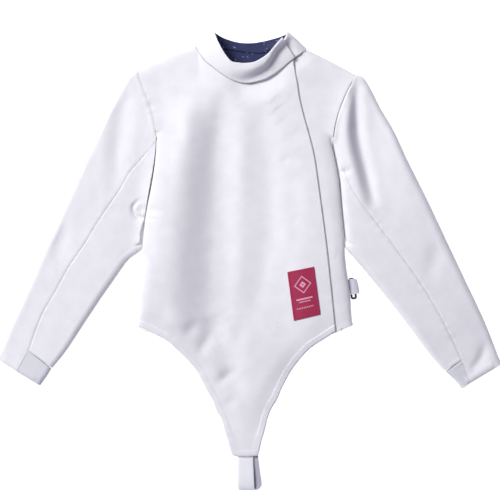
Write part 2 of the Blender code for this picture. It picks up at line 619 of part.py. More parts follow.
def buildCollar():
    grid, inset = collarGrid(collarLevels)
    makeSheet("collar", movedInward(grid, inset), collarWall, "jacket_cloth", clothColour)
    lining, inset = collarGrid(liningLevels)
    station = np.arange(len(collarStations))
    fromFold = np.minimum(abs(station - 13.5), abs(station - 25.5))
    nearFold = 1.0 - smooth(1.0, 3.5, fromFold)
    lining = movedInward(lining, inset + collarWall + 0.35 + 1.5 * nearFold)
    lining = lining + (lining[:, -1:] - lining) * (0.12 * nearFold)[:, None, None]
    makeSheet("collar_lining", lining[liningFirst:liningLast], liningWall, "lining",
              liningColour)


def surfaceHeight(obj):
    depsgraph = bpy.context.evaluated_depsgraph_get()
    tree = BVHTree.FromObject(obj, depsgraph)

    def height(x, y):
        hit = tree.ray_cast(placed(x, y, 1000.0), Vector((0, 0, -1)))
        return hit[0].z / mm
    return height


def buildPatch(front):
    height = surfaceHeight(front)
    corners = np.array(patchCorners, float)
    rows = []
    for v in np.linspace(0, 1, 9):
        row = []
        for u in np.linspace(0, 1, 6):
            low = corners[3] + (corners[2] - corners[3]) * u
            high = corners[0] + (corners[1] - corners[0]) * u
            x, y = low + (high - low) * v
            row.append((x, y, height(x, y) + patchGap + patchWall))
        rows.append(row)
    return makeSheet("patch", np.array(rows), patchWall, "patch", patchColour, roughness=0.7)


def buildCrotchStrap():
    rows = []
    for leftX, leftY, rightX, rightY, z in strapStations:
        row = []
        for share in (0.0, 0.33, 0.67, 1.0):
            row.append((leftX + (rightX - leftX) * share, leftY + (rightY - leftY) * share, z))
        rows.append(row)
    return makeSheet("crotch_strap", np.array(rows), strapWall, "elastic", elasticColour,
                     flip=True)


def buildSideStrap():
    across = (0.0, 0.33, 0.67, 1.0)
    bases = pointsAt(np.array(sideStrapStart, float), across)
    ends = pointsAt(curveThrough(sideStrapFold), across)
    rows = []
    for share, z in sideStrapSteps:
        rows.append([(*(base + (end - base) * share), z) for base, end in zip(bases, ends)])
    return makeSheet("side_strap", np.array(rows), webbingWall, "elastic", elasticColour)


def roundedLoop(halfLength, halfWidth, radius, segments=5):
    loop = []
    for cornerX, cornerY, start in ((1, 1, 0), (-1, 1, 90), (-1, -1, 180), (1, -1, 270)):
        for k in range(segments):
            angle = math.radians(start + 90 * k / (segments - 1))
            x = cornerX * (halfLength - radius) + radius * math.cos(angle)
            y = cornerY * (halfWidth - radius) + radius * math.sin(angle)
            loop.append((x, y))
    return loop


def buildSlider():
    axis = Vector(sliderBottom) - Vector(sliderTop)
    half = axis.length / 2
    outer = roundedLoop(half, sliderWidth / 2, 5.0)
    inner = roundedLoop(half - sliderRim, sliderWidth / 2 - sliderRim, 2.2)
    shape = bmesh.new()
    rings = []
    for loop, z in ((outer, 0.0), (outer, sliderThickness), (inner, sliderThickness), (inner, 0.0)):
        rings.append([shape.verts.new((x * mm, y * mm, z * mm)) for x, y in loop])
    count = len(outer)
    for lower, upper in zip(rings, rings[1:] + rings[:1]):
        for k in range(count):
            after = (k + 1) % count
            shape.faces.new([lower[k], lower[after], upper[after], upper[k]])
    bmesh.ops.recalc_face_normals(shape, faces=shape.faces)
    mesh = bpy.data.meshes.new("side_slider")
    shape.to_mesh(mesh)
    shape.free()
    slider = bpy.data.objects.new("side_slider", mesh)
    bpy.context.scene.collection.objects.link(slider)
    centre = (Vector(sliderTop) + Vector(sliderBottom)) / 2
    slider.location = placed(centre.x, centre.y, sliderLow)
    slider.rotation_euler = (0.0, 0.0, math.atan2(axis.y, axis.x))
    soft = slider.modifiers.new("edges", "BEVEL")
    soft.width = 0.6 * mm
    soft.segments = 1
    soft.limit_method = "ANGLE"
    setMaterial(slider, "slider", sliderColour, 0.35)
    return slider


def buildJacket():
    for old in list(bpy.data.objects):
        bpy.data.objects.remove(old, do_unlink=True)
    front = buildFrontRight()
    buildFrontLeft()
    buildBack()
    buildSleeves()
    buildCollar()
    buildCrotchStrap()
    buildSideStrap()
    buildSlider()
    bpy.context.view_layer.update()
    buildPatch(front)


buildJacket()
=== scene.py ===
import json
import math
import bpy
import numpy as np
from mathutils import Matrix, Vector
from mathutils.bvhtree import BVHTree

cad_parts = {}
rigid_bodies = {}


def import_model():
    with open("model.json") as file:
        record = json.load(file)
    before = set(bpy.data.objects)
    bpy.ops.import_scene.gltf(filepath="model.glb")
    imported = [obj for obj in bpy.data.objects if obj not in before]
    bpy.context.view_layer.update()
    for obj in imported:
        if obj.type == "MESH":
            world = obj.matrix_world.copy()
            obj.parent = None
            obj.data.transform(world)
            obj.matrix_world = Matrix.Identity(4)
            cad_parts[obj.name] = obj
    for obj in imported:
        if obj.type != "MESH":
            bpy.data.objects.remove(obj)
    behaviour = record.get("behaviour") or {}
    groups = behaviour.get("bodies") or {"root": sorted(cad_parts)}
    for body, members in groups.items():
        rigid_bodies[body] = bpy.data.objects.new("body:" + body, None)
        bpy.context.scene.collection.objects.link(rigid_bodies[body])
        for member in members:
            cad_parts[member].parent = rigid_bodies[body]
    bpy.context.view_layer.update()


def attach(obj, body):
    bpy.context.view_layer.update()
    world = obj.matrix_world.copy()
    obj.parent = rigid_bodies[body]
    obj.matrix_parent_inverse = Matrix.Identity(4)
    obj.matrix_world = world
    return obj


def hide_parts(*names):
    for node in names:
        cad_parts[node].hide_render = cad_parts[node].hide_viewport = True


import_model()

mm = 0.001
middle = (1.5, -3.0)  # table point that sits at the row frame's origin
millimetresPerPixel = 1.85


def selectNone():
    for other in bpy.data.objects:
        other.select_set(False)


selectNone()

# camera straight above, framed as the photo is
view = {"pixels": (500, 496), "centre": (250.0, 248.0), "tableZero": (247.7, 259.0),
        "planeHeight": 10.0, "distance": 4000.0, "sensor": 36.0}


def addCamera():
    scale = millimetresPerPixel
    x = (view["centre"][0] - view["tableZero"][0]) * scale - middle[0]
    y = (view["tableZero"][1] - view["centre"][1]) * scale - middle[1]
    data = bpy.data.cameras.new("overhead")
    data.sensor_width = view["sensor"]
    data.lens = view["sensor"] * view["distance"] / (view["pixels"][0] * scale)
    data.clip_end = 50.0
    camera = bpy.data.objects.new("overhead", data)
    camera.location = (x * mm, y * mm, (view["planeHeight"] + view["distance"]) * mm)
    bpy.context.scene.collection.objects.link(camera)
    bpy.context.scene.camera = camera


# one large soft source from the upper left, a weak fill from above, and an even sky
lights = {"key": {"place": (-3.4, 2.4, 4.1), "size": 2.2, "watts": 336.0},
          "fill": {"place": (-0.6, 0.2, 4.0), "size": 3.0, "watts": 14.0},
          "sky": 0.23, "skyTint": "#D6D4FB"}


def addLights():
    for name in ("key", "fill"):
        data = bpy.data.lights.new(name, "AREA")
        data.shape = "DISK"
        data.size = lights[name]["size"]
        data.energy = lights[name]["watts"]
        lamp = bpy.data.objects.new(name, data)
        lamp.location = lights[name]["place"]
        lamp.rotation_euler = (-Vector(lamp.location)).to_track_quat("-Z", "Y").to_euler()
        bpy.context.scene.collection.objects.link(lamp)
    world = bpy.data.worlds.new("studio")
    world.use_nodes = True
    world.node_tree.nodes["Background"].inputs["Color"].default_value = linear(lights["skyTint"])
    world.node_tree.nodes["Background"].inputs["Strength"].default_value = lights["sky"]
    bpy.context.scene.world = world
    bpy.context.scene.view_settings.view_transform = "Standard"
    bpy.context.scene.view_settings.look = "None"


# colours as hex, turned to linear
def linear(code):
    channels = [int(code[k:k + 2], 16) / 255 for k in (1, 3, 5)]
    return (*[c / 12.92 if c <= 0.04045 else ((c + 0.055) / 1.055) ** 2.4 for c in channels], 1.0)


addCamera()
addLights()
print("camera and lights are set")


# a socket by its name, or by its number where i stands before it
def socketOf(key):
    return int(key[1:]) if key[0] == "i" and key[1:].isdigit() else key.replace("_", " ")


# a node given as a source stands for its first output
def addNode(tree, kind, settings=None, **links):
    made = tree.nodes.new("ShaderNode" + kind)
    for key, value in (settings or {}).items():
        if key == "stops":
            for stop, (position, code) in zip(made.color_ramp.elements, value):
                stop.position, stop.color = position, linear(code)
        elif hasattr(made, key):
            setattr(made, key, value)
        else:
            made.inputs[socketOf(key)].default_value = value
    for key, source in links.items():
        tree.links.new(getattr(source, "outputs", [source])[0], made.inputs[socketOf(key)])
    return made


def startMaterial(name, roughness, sheen=0.0, **more):
    surface = bpy.data.materials.new(name)
    surface.use_nodes = True
    tree = surface.node_tree
    shader = tree.nodes["Principled BSDF"]
    shader.inputs["Roughness"].default_value = roughness
    shader.inputs["Sheen Weight"].default_value = sheen
    for key, value in more.items():
        shader.inputs[key.replace("_", " ")].default_value = value
    return surface, tree, shader


def inMillimetres(tree, turn=0.0):
    uv = addNode(tree, "UVMap", {"uv_map": "cloth"})
    return addNode(tree, "Mapping", {"Rotation": (0.0, 0.0, math.radians(turn)),
                                     "Scale": (1000, 1000, 1000)},
                   Vector=uv)


def addBumps(tree, shader, layers):
    last = None
    for height, strength, distance in layers:
        bump = addNode(tree, "Bump", {"Strength": strength, "Distance": distance * mm}, Height=height)
        if last is not None:
            tree.links.new(last.outputs["Normal"], bump.inputs["Normal"])
        last = bump
    tree.links.new(last.outputs["Normal"], shader.inputs["Normal"])


def tint(tree, shader, factor, pale, deep):
    ramp = addNode(tree, "ValToRGB", {"stops": [(0.35, deep), (0.65, pale)]}, Fac=factor)
    tree.links.new(ramp.outputs["Color"], shader.inputs["Base Color"])


def jacketTwill():
    # thick white cotton twill: reads soft and matt, with a faint cool cast and a short nap
    surface, tree, shader = startMaterial("white jacket twill", 0.86, sheen=0.12)
    shader.inputs["Sheen Roughness"].default_value = 0.6
    place = inMillimetres(tree)
    cast = addNode(tree, "TexNoise", {"Scale": 0.035, "Detail": 3.0}, Vector=place)
    tint(tree, shader, cast.outputs["Fac"], "#F1F0F1", "#ECEBED")
    twill = addNode(tree, "TexWave", {"bands_direction": "DIAGONAL", "Scale": 0.45, "Distortion": 0.5,
                                      "Detail": 1.0}, Vector=place)  # ribs 1.4 mm, coarser than real
    nap = addNode(tree, "TexNoise", {"Scale": 1.6, "Detail": 4.0}, Vector=place)
    soft = addNode(tree, "TexNoise", {"Scale": 0.09, "Detail": 2.0}, Vector=place)
    addBumps(tree, shader, [(soft.outputs["Fac"], 0.12, 1.6), (nap.outputs["Fac"], 0.3, 0.22),
                            (twill.outputs["Fac"], 0.3, 0.12)])
    return surface


def cuffElastic(name, pale, deep):
    # white knitted elastic: fine ribs along its length, a little greyer than the cloth
    surface, tree, shader = startMaterial(name, 0.78, sheen=0.08)
    place = inMillimetres(tree)
    ribs = addNode(tree, "TexWave", {"bands_direction": "X", "Scale": 0.17, "Distortion": 0.2},
                   Vector=place)  # 1.8 mm ribs
    picks = addNode(tree, "TexWave", {"bands_direction": "Y", "Scale": 0.3, "Distortion": 0.3},
                    Vector=place)
    grain = addNode(tree, "TexNoise", {"Scale": 0.8, "Detail": 3.0}, Vector=place)
    tint(tree, shader, grain.outputs["Fac"], pale, deep)
    addBumps(tree, shader, [(ribs.outputs["Fac"], 0.5, 0.35), (picks.outputs["Fac"], 0.25, 0.12)])
    return surface


def collarLining():
    # navy woven lining: a slight sheen, a fine weave and sparse pale blue dashes
    surface, tree, shader = startMaterial("navy lining", 0.6, sheen=0.1)
    shader.inputs["Sheen Tint"].default_value = linear("#8FA3D6")
    place = inMillimetres(tree)
    slant = addNode(tree, "Mapping", {"Scale": (0.08, 0.3, 1.0)},
                    Vector=inMillimetres(tree, turn=-115.0))
    cells = addNode(tree, "TexVoronoi", {"Scale": 1.0, "Randomness": 0.9}, Vector=slant)
    dash = addNode(tree, "ValToRGB", {"stops": [(0.19, "#FFFFFF"), (0.26, "#000000")]},
                   Fac=cells.outputs["Distance"])
    spare = addNode(tree, "Math", {"operation": "GREATER_THAN", "i1": 0.5}, i0=cells.outputs["Color"])
    shown = addNode(tree, "Math", {"operation": "MULTIPLY"}, i0=dash, i1=spare)
    wash = addNode(tree, "TexNoise", {"Scale": 0.06, "Detail": 3.0}, Vector=place)
    navy = addNode(tree, "ValToRGB", {"stops": [(0.0, "#10173F"), (1.0, "#1E275C")]}, Fac=wash)
    both = addNode(tree, "MixRGB", {"Color2": linear("#6F80B8")}, Fac=shown, Color1=navy)
    tree.links.new(both.outputs["Color"], shader.inputs["Base Color"])
    weave = addNode(tree, "TexWave", {"bands_direction": "DIAGONAL", "Scale": 0.7},
                    Vector=place)
    addBumps(tree, shader, [(weave.outputs["Fac"], 0.3, 0.1), (wash.outputs["Fac"], 0.3, 1.2)])
    return surface


def patchWeave():
    # crimson woven patch: rows of thread across it, and a plain pale motif that is woven in
    surface, tree, shader = startMaterial("crimson woven patch", 0.6, sheen=0.2)
    place = inMillimetres(tree)
    rows = addNode(tree, "TexWave", {"bands_direction": "Y", "Scale": 0.35, "Distortion": 0.4},
                   Vector=place)
    grain = addNode(tree, "TexNoise", {"Scale": 0.7, "Detail": 4.0}, Vector=place)
    red = addNode(tree, "ValToRGB", {"stops": [(0.3, "#9C0A40"), (0.7, "#B5144E")]}, Fac=grain)
    axes = addNode(tree, "SeparateXYZ", Vector=place)
    across, along = axes.outputs["X"], axes.outputs["Y"]
    aside = addNode(tree, "Math", {"operation": "SUBTRACT", "i1": 25.0}, i0=across)
    above = addNode(tree, "Math", {"operation": "SUBTRACT", "i1": 61.0}, i0=along)
    spread = [addNode(tree, "Math", {"operation": "ABSOLUTE"}, i0=one) for one in (aside, above)]
    reach = addNode(tree, "Math", {"operation": "ADD"}, i0=spread[0], i1=spread[1])
    ticks = addNode(tree, "Math", {"operation": "PINGPONG", "i1": 1.6}, i0=across)
    # a diamond outline, a small diamond, two bars and a row of ticks: each is one or more bands
    # that it lies in, as what is measured, its middle and its half width in millimetres
    motif = [[(reach, 15.0, 1.3)], [(reach, 4.0, 2.2)], [(along, 35.0, 1.5), (across, 25.0, 15.0)],
             [(along, 30.0, 0.8), (across, 25.0, 11.0)],
             [(ticks, 0.0, 0.8), (along, 19.0, 1.4), (across, 25.0, 16.0)]]
    shown = None
    for bands in motif:
        figure = None
        for source, at, half in bands:
            band = addNode(tree, "Math", {"operation": "COMPARE", "i1": at, "i2": half}, i0=source)
            figure = addNode(tree, "Math", {"operation": "MULTIPLY"}, i0=figure, i1=band) if figure else band
        shown = addNode(tree, "Math", {"operation": "MAXIMUM"}, i0=shown, i1=figure) if shown else figure
    colour = addNode(tree, "MixRGB", {"Color2": linear("#E8A6BD")}, Fac=shown, Color1=red)
    tree.links.new(colour.outputs["Color"], shader.inputs["Base Color"])
    addBumps(tree, shader, [(rows.outputs["Fac"], 0.5, 0.25), (shown.outputs[0], 0.4, 0.2),
                            (grain.outputs["Fac"], 0.2, 0.2)])
    return surface


def sewingThread(name, pale, deep):
    # spun polyester thread: a little brighter and smoother than the cloth that it holds
    surface, tree, shader = startMaterial(name, 0.55, sheen=0.1)
    place = addNode(tree, "TexCoord")
    grain = addNode(tree, "TexNoise", {"Scale": 900.0, "Detail": 2.0}, Vector=place.outputs["Object"])
    tint(tree, shader, grain.outputs["Fac"], pale, deep)
    addBumps(tree, shader, [(grain.outputs["Fac"], 0.3, 0.1)])
    return surface


def sliderPlastic():
    # black moulded plastic: satin, with a fine moulded grain that breaks up its gloss
    surface, tree, shader = startMaterial("black moulded plastic", 0.38)
    place = addNode(tree, "TexCoord")
    grain = addNode(tree, "TexNoise", {"Scale": 1400.0, "Detail": 3.0}, Vector=place.outputs["Object"])
    tint(tree, shader, grain.outputs["Fac"], "#232327", "#141417")
    gloss = addNode(tree, "MapRange", {"To Min": 0.3, "To Max": 0.5}, Value=grain.outputs["Fac"])
    tree.links.new(gloss.outputs[0], shader.inputs["Roughness"])
    addBumps(tree, shader, [(grain.outputs["Fac"], 0.15, 0.05)])
    return surface


def glowingFloorPaint():
    # matt pale card with hardly any mottle, which glows: painted light that keeps it evenly white, fills in
    # the shadows the jacket casts on it and lights the cloth's edges from below
    surface, tree, shader = startMaterial("glowing white card", 0.95)
    place = addNode(tree, "TexCoord")
    mottle = addNode(tree, "TexNoise", {"Scale": 3.0, "Detail": 2.0}, Vector=place.outputs["Object"])
    tint(tree, shader, mottle.outputs["Fac"], "#D4D4D6", "#D0D0D3")
    # painted light: the card's own glow
    shader.inputs["Emission Color"].default_value = (1.0, 1.0, 1.0, 1.0)
    shader.inputs["Emission Strength"].default_value = 0.84
    return surface


materials = {"twill": jacketTwill(),
             "elastic": cuffElastic("white ribbed elastic", "#E6E6EA", "#DADADF"),
             # painted light: the strap's outer face is made whiter than the cuff elastic, to make up for the
             # light its low, tilted strand loses to fall-off
             "strap": cuffElastic("strap elastic whitened as painted light", "#F9F9FA", "#F1F1F4"),
             # painted shade: a grey copy of the strap elastic for its inner face, which lies up on the back
             # strand, standing in for the shadow the front strand casts there
             "strapPaintedShade": cuffElastic("painted shade on the elastic's inner face", "#C9C8D2", "#A9A8B4"),
             "webbing": cuffElastic("grey white webbing", "#DCDCE3", "#C9C9D1"),
             "lining": collarLining(),
             "patch": patchWeave(), "thread": sewingThread("white thread", "#F7F7F9", "#ECECF0"),
             "redThread": sewingThread("crimson thread", "#B01650", "#8E0A3C"),
             "slider": sliderPlastic(), "floor": glowingFloorPaint()}
print("materials are made")

# outline of the body as it lies, x and y
rightSide = [(-206, -124), (-203, -94), (-200, -39), (-195, 17), (-188, 81), (-180, 124),
             (-174, 157), (-170, 191), (-168, 221)]
rightArmhole = [(-168, 221), (-171, 246), (-175, 266), (-180, 282), (-188, 305), (-198, 331),
                (-204, 351)]
rightShoulder = [(-204, 351), (-188, 361), (-173, 368), (-155, 376), (-136, 383), (-118, 390),
                 (-99, 397)]
leftSide = [(195, -122), (193, -113), (189, -60), (183, -18), (180, 22), (178, 49), (174, 87),
            (169, 144), (165, 168), (160, 192), (156, 211)]
leftArmhole = [(156, 211), (158, 231), (162, 253), (168, 275), (176, 295), (186, 317), (200, 341)]
leftShoulder = [(111, 387), (132, 377), (163, 361), (200, 341)]
frontNeck = [(-99, 397), (-91, 382), (-81, 367.5), (-66, 354.5), (-49, 341.5), (-33, 331.5),
             (-16, 325.5), (1, 323.5), (17, 326.5), (34, 332.5), (51, 342.5), (67, 354.5),
             (84, 367)]
flapEdge = [(162, -134), (156, -75), (150, -19), (144, 34), (135, 102), (129, 146), (122, 192),
            (114, 225), (104, 261), (96, 293), (92, 319), (88, 342), (84, 367)]
hemRight = [(-206, -124), (-186, -131), (-168, -141), (-151, -150), (-131, -168), (-112, -187),
            (-97, -205), (-86, -224), (-77, -242), (-66, -261), (-59, -279), (-49, -298),
            (-44, -316), (-38, -335), (-33, -353), (-28, -364)]
hemTip = [(-28, -364), (-14, -366), (6, -366), (19, -364)]
hemLeft = [(19, -364), (22, -353), (26, -335), (32, -316), (36, -298), (43, -279), (54, -261),
           (62, -242), (71, -224), (82, -205), (102, -179), (117, -164), (147, -144), (162, -134)]
underFlapEdge = [(124, -153), (119, -75), (112, -19), (106, 34), (97, 102), (91, 146), (84, 192),
                 (76, 225), (66, 261), (58, 293), (54, 319), (52, 341)]
leftNeck = [(52, 341), (67, 352), (87, 368), (98, 377), (111, 387)]
leftHem = [(124, -153), (162, -136), (180, -128), (195, -122)]
backNeck = [(-99, 397), (-88, 385.5), (-70, 373.6), (-52, 363.6), (-30, 356.8), (-8, 354),
            (12, 354), (34, 356.8), (56, 363.6), (78, 375), (96, 383.6), (111, 387)]
backHem = [(-206, -124), (-130, -136), (-60, -146), (0, -150), (60, -146), (125, -136),
           (195, -122)]

# outline and seams of the sleeves, shoulder to cuff
rightOuter = [(-204, 351), (-220, 340), (-236, 313), (-257, 276), (-275, 239), (-303, 183),
              (-336, 109), (-371, 35), (-403, -39), (-436, -113), (-451, -150), (-466, -182)]
rightSeam = [(-168, 221), (-182, 203), (-200, 181), (-220, 157), (-236, 129), (-251, 107),
             (-277, 68), (-302, 27), (-329, -12), (-355, -59), (-381, -105), (-405, -169)]
rightInner = [(-163, 213), (-165, 191), (-169, 157), (-175, 124), (-183, 81), (-189, 45),
              (-193, 20), (-220, -2), (-247, -39), (-273, -76), (-301, -118), (-334, -168),
              (-354, -193), (-361, -201.3)]
rightCuffSeam = [(-405, -169), (-416, -188), (-427, -208)]
rightCuffInner = [(-363, -203), (-371, -216), (-384, -234)]
leftOuter = [(200, 341), (212, 338), (228, 313), (247, 276), (269, 239), (295, 183), (332, 109),
             (367, 35), (402, -39), (437, -113), (452, -150), (469, -194)]
leftSeam = [(156, 211), (165, 188), (178, 161), (197, 120), (228, 79), (274, 17), (316, -41),
            (352, -100), (378, -150), (395, -187)]
leftInner = [(151, 204), (155, 190), (160, 165), (164, 144), (169, 87), (173, 49), (178, 24),
             (198, 0), (215, -20), (245, -57), (289, -113), (330, -168), (356, -199), (363.5, -206.5)]
leftCuffSeam = [(395, -187), (404, -210), (411, -229)]
leftCuffInner = [(366, -208.5), (385, -226), (396, -240)]

# height of the upper cloth above the floor: x, y, height
loftPoints = [
    (-190, 325, 15), (-140, 352, 15), (-104, 372, 17), (-60, 330, 25), (0, 308, 26.5),
    (60, 330, 26), (100, 360, 18), (150, 352, 15), (190, 322, 15), (-140, 240, 24),
    (-60, 240, 24), (20, 240, 25), (90, 240, 26), (140, 240, 24), (-160, 120, 27),
    (-90, 120, 24), (0, 120, 24), (80, 120, 25), (140, 120, 24), (-170, 0, 27),
    (-100, 0, 24), (0, 0, 24), (80, 0, 25), (150, 0, 23), (-180, -100, 18),
    (-100, -110, 20), (0, -110, 19), (80, -105, 20), (165, -105, 17), (-90, -180, 12),
    (0, -200, 12), (70, -180, 12), (-45, -270, 8.5), (5, -280, 9.5), (35, -265, 8.5),
    (-5, -352, 8),
    (-225, 290, 24), (-255, 200, 29), (-300, 150, 28), (-270, 60, 25), (-330, 40, 27),
    (-300, -40, 24), (-385, -60, 25), (-345, -110, 22), (-435, -160, 18), (-390, -205, 17),
    (222, 285, 24), (250, 200, 28), (295, 140, 28), (250, 40, 25), (325, 40, 27),
    (300, -40, 24), (385, -60, 25), (345, -110, 22), (435, -165, 18), (390, -205, 17)]
loftSpread = 46.0

# the large folds: each row along one, from its upper end, is x, y, height, half width, and
# where the right side differs, its half width; troughs are negative
folds = {
    "chest ridge": [(-104, 300, 1, 20, 22), (-112, 262, 8, 26, 28), (-121, 200, 11, 28, 32),
                    (-132, 109, 12.5, 32, 38), (-140, 0, 13, 32, 38), (-141, -60, 12, 32, 38),
                    (-134, -112, 7, 26, 30)],
    "side plateau": [(-163, 226, 1, 20), (-168, 190, 5, 22), (-172, 120, 7, 24), (-178, 40, 8, 26),
                     (-182, -40, 8, 26), (-176, -100, 3, 22)],
    "chest trough": [(-40, 318, 0, 15, 16), (-51, 250, -7, 23, 28), (-57, 160, -8.5, 28, 36),
                     (-60, 60, -7.5, 32, 44), (-64, -20, -7.5, 32, 44), (-66, -100, -6.5, 30, 38),
                     (-78, -150, -4, 22, 24), (-92, -188, 0, 14, 14)],
    "middle shelf": [(20, 300, 0, 40), (18, 240, -5, 60), (16, 140, -8, 76), (14, 20, -8, 78),
                     (6, -90, -6, 60), (0, -150, -2, 44), (0, -190, 0, 40)],
    "belly trough": [(-70, -104, 0, 20), (-62, -130, -5, 22), (-40, -180, -6.5, 24),
                     (-24, -225, -4.5, 20), (-12, -262, 0, 16)],
    "middle ridge": [(2, 300, 0, 14), (-10, 200, 2.2, 18), (-14, 80, 2.4, 20),
                     (-15, -20, 2.4, 20), (-20, -112, 0, 16)],
    "middle trough": [(24, 292, 0, 14), (38, 196, -2.2, 20), (43, 80, -2.6, 23),
                      (30, -15, -2, 19), (12, -112, 0, 14)],
    "armhole crease": [(-132, 262, 0, 10), (-127, 230, -2.4, 13), (-119, 192, 0, 10)],
    "hem wrinkle one": [(-120, -146, 0, 8), (-104, -128, -3.4, 11), (-88, -110, 0, 9)],
    "hem wrinkle two": [(-97, -184, 0, 8), (-81, -160, -2.9, 10), (-64, -134, 0, 8)],
    "tip wrinkle one": [(-66, -238, 0, 7), (-42, -219, -3.4, 9), (-16, -200, 0, 8)],
    "tip wrinkle two": [(-46, -277, 0, 8), (-33, -266, -2.1, 9), (-18, -255, 0, 8)],
    "tip trough": [(-8, -104, 0, 10), (-18, -140, -1.6, 14), (-27, -174, 0, 10)],
    "flap hollow": [(66, 210, 0, 14), (78, 150, -2, 18), (88, 66, -1.5, 16), (92, 0, 0, 12)],
    "right sleeve trough": [(-221, 320, 0, 12), (-228, 290, -3, 16), (-239, 220, -4.5, 18),
                            (-243, 160, -3, 16), (-250, 112, 0, 12)],
    "right elbow": [(-330, 70, 0, 12), (-345, 30, -3, 16), (-352, -20, 0, 12)],
    "left sleeve trough": [(206, 326, 0, 7), (202, 313, -4, 9), (201, 290, -7.5, 11),
                           (203, 238.7, -9, 12), (209.6, 201.7, -9.5, 12), (218.9, 164.7, -9, 12),
                           (228.1, 124, -6.5, 11), (235.5, 94.4, 0, 10)],
    "left sleeve ridge": [(196.7, 323.8, 0, 8), (187.4, 285, 5, 12), (181.9, 238.7, 6, 12),
                          (185.6, 201.7, 6, 12), (194.8, 164.7, 5, 12), (207.8, 118.4, 3.5, 12),
                          (218.9, 87, 0, 10)],
    "left sleeve hollow": [(228, 306, 0, 22), (230, 238.7, -7.5, 34), (241, 174, -7.5, 34),
                           (257, 109, -4.5, 32), (272.5, 55, 0, 24)],
    "left sleeve crease": [(166, 167, 0, 4), (173, 161, -5, 4.2), (180, 161, -4, 4.6),
                           (188, 165, -1.6, 4.4), (194, 170, 0, 4)],
    "left armpit crease": [(158, 203, 0, 3.4), (163, 192, -3, 4), (168, 180, -2.2, 4),
                           (172, 170, 0, 4)],
    "left cuff crease": [(440, -146, 0, 8), (433, -180, -4, 9), (421, -196, -3, 7),
                         (412, -207, 0, 6)],
    "left elbow": [(352, 40, 0, 12), (344, 0, -2.6, 16), (330, -36, 0, 12)]}

# small creases that only the finished cloth has, in the same form
creases = {
    "flap dimple": [(62, 190, 0, 5), (69, 183, -0.8, 7), (77, 179, 0, 5)],
    "flap dimple low": [(80, 78, 0, 5), (87, 72, -0.7, 7), (95, 70, 0, 5)],
    "ring pucker": [(-188, 104, 0, 3), (-200, 107, -2, 3.2), (-209, 100, -3.6, 4),
                    (-211, 90, -4, 4.2), (-206, 80, -5, 4.2), (-197, 76, -7, 4.4),
                    (-189, 77, -7, 4.4), (-183, 80, 0, 4)],
    "ring pucker hollow": [(-206, 93, 0, 5), (-199, 92, -3, 8), (-190, 90, -4.4, 8),
                           (-184, 89, -4, 7)]}


def smooth(low, high, value):
    share = np.clip((np.asarray(value, float) - low) / (high - low), 0.0, 1.0)
    return share * share * (3.0 - 2.0 * share)


def curveThrough(points, steps=6):
    knots = np.array(points, float)
    chord = np.linalg.norm(np.diff(knots, axis=0), axis=1)
    travel = np.concatenate([[0.0], np.cumsum(chord)])
    slope = np.zeros_like(knots)
    slope[1:-1] = (knots[2:] - knots[:-2]) / (travel[2:] - travel[:-2])[:, None]
    slope[0] = (knots[1] - knots[0]) / chord[0]
    slope[-1] = (knots[-1] - knots[-2]) / chord[-1]
    t = np.arange(steps)[None, :, None] / steps
    start, end = knots[:-1, None], knots[1:, None]
    leave, arrive = (slope[:-1] * chord[:, None])[:, None], (slope[1:] * chord[:, None])[:, None]
    curve = (1 + 2 * t) * (1 - t) ** 2 * start + t * (1 - t) ** 2 * leave
    curve = curve + t * t * (3 - 2 * t) * end + t * t * (t - 1) * arrive
    return np.concatenate([curve.reshape(-1, knots.shape[1]), knots[-1:]])


def joined(*parts):
    curves = [curveThrough(part) for part in parts]
    return np.concatenate([curves[0]] + [curve[1:] for curve in curves[1:]])


# distance along a curve at each of its points
def travelAlong(curve):
    return np.concatenate([[0.0], np.cumsum(np.linalg.norm(np.diff(curve, axis=0), axis=1))])


def lengthOf(curve):
    return np.linalg.norm(np.diff(curve, axis=0), axis=1).sum()


def pointsAt(curve, shares):
    travel = travelAlong(curve)
    wanted = np.asarray(shares, float) * travel[-1]
    return np.stack([np.interp(wanted, travel, curve[:, k]) for k in range(curve.shape[1])], -1)


# gap to a line, and how far along it the nearest point lies
def nearLine(curve, x, y):
    gap = np.full(np.shape(x), 1e9)
    travel = np.zeros(np.shape(x))
    passed = 0.0
    for start, end in zip(curve[:-1, :2], curve[1:, :2]):
        step = end - start
        length = math.hypot(*step)
        along = ((x - start[0]) * step[0] + (y - start[1]) * step[1]) / max(length ** 2, 1e-9)
        along = np.clip(along, 0.0, 1.0)
        here = np.hypot(x - start[0] - along * step[0], y - start[1] - along * step[1])
        travel = np.where(here < gap, passed + along * length, travel)
        gap = np.minimum(gap, here)
        passed += length
    return gap, travel


def distanceTo(curve, x, y):
    return nearLine(curve, x, y)[0]


def foldHeight(rows, x, y):
    table = curveThrough(rows, 3)
    closest = np.full(np.shape(x), 1e9)
    height = np.zeros(np.shape(x))
    for start, end in zip(table[:-1], table[1:]):
        step = end[:2] - start[:2]
        along = np.clip(((x - start[0]) * step[0] + (y - start[1]) * step[1]) / (step @ step), 0, 1)
        gap = np.hypot(x - start[0] - along * step[0], y - start[1] - along * step[1])
        half = start[3] + along * (end[3] - start[3])
        if len(start) == 5:
            onRight = step[0] * (y - start[1]) - step[1] * (x - start[0]) > 0
            half = np.where(onRight, start[4] + along * (end[4] - start[4]), half)
        reach = gap / half
        rise = (start[2] + along * (end[2] - start[2])) * np.exp(-reach ** 2)
        height = np.where(reach < closest, rise, height)
        closest = np.minimum(closest, reach)
    return height


# soft seeded unevenness of about plus or minus one, with bumps of the given size
def unevenness(x, y, size, seed):
    chance = np.random.RandomState(seed)
    total = 0.0
    for k in range(11):
        angle = chance.uniform(0, 2 * math.pi)
        wave = 2 * math.pi / (size * chance.uniform(0.8, 2.2))
        along = x * math.cos(angle) + y * math.sin(angle)
        total = total + np.sin(along * wave + chance.uniform(0, 6.3))
    return total / 4.0


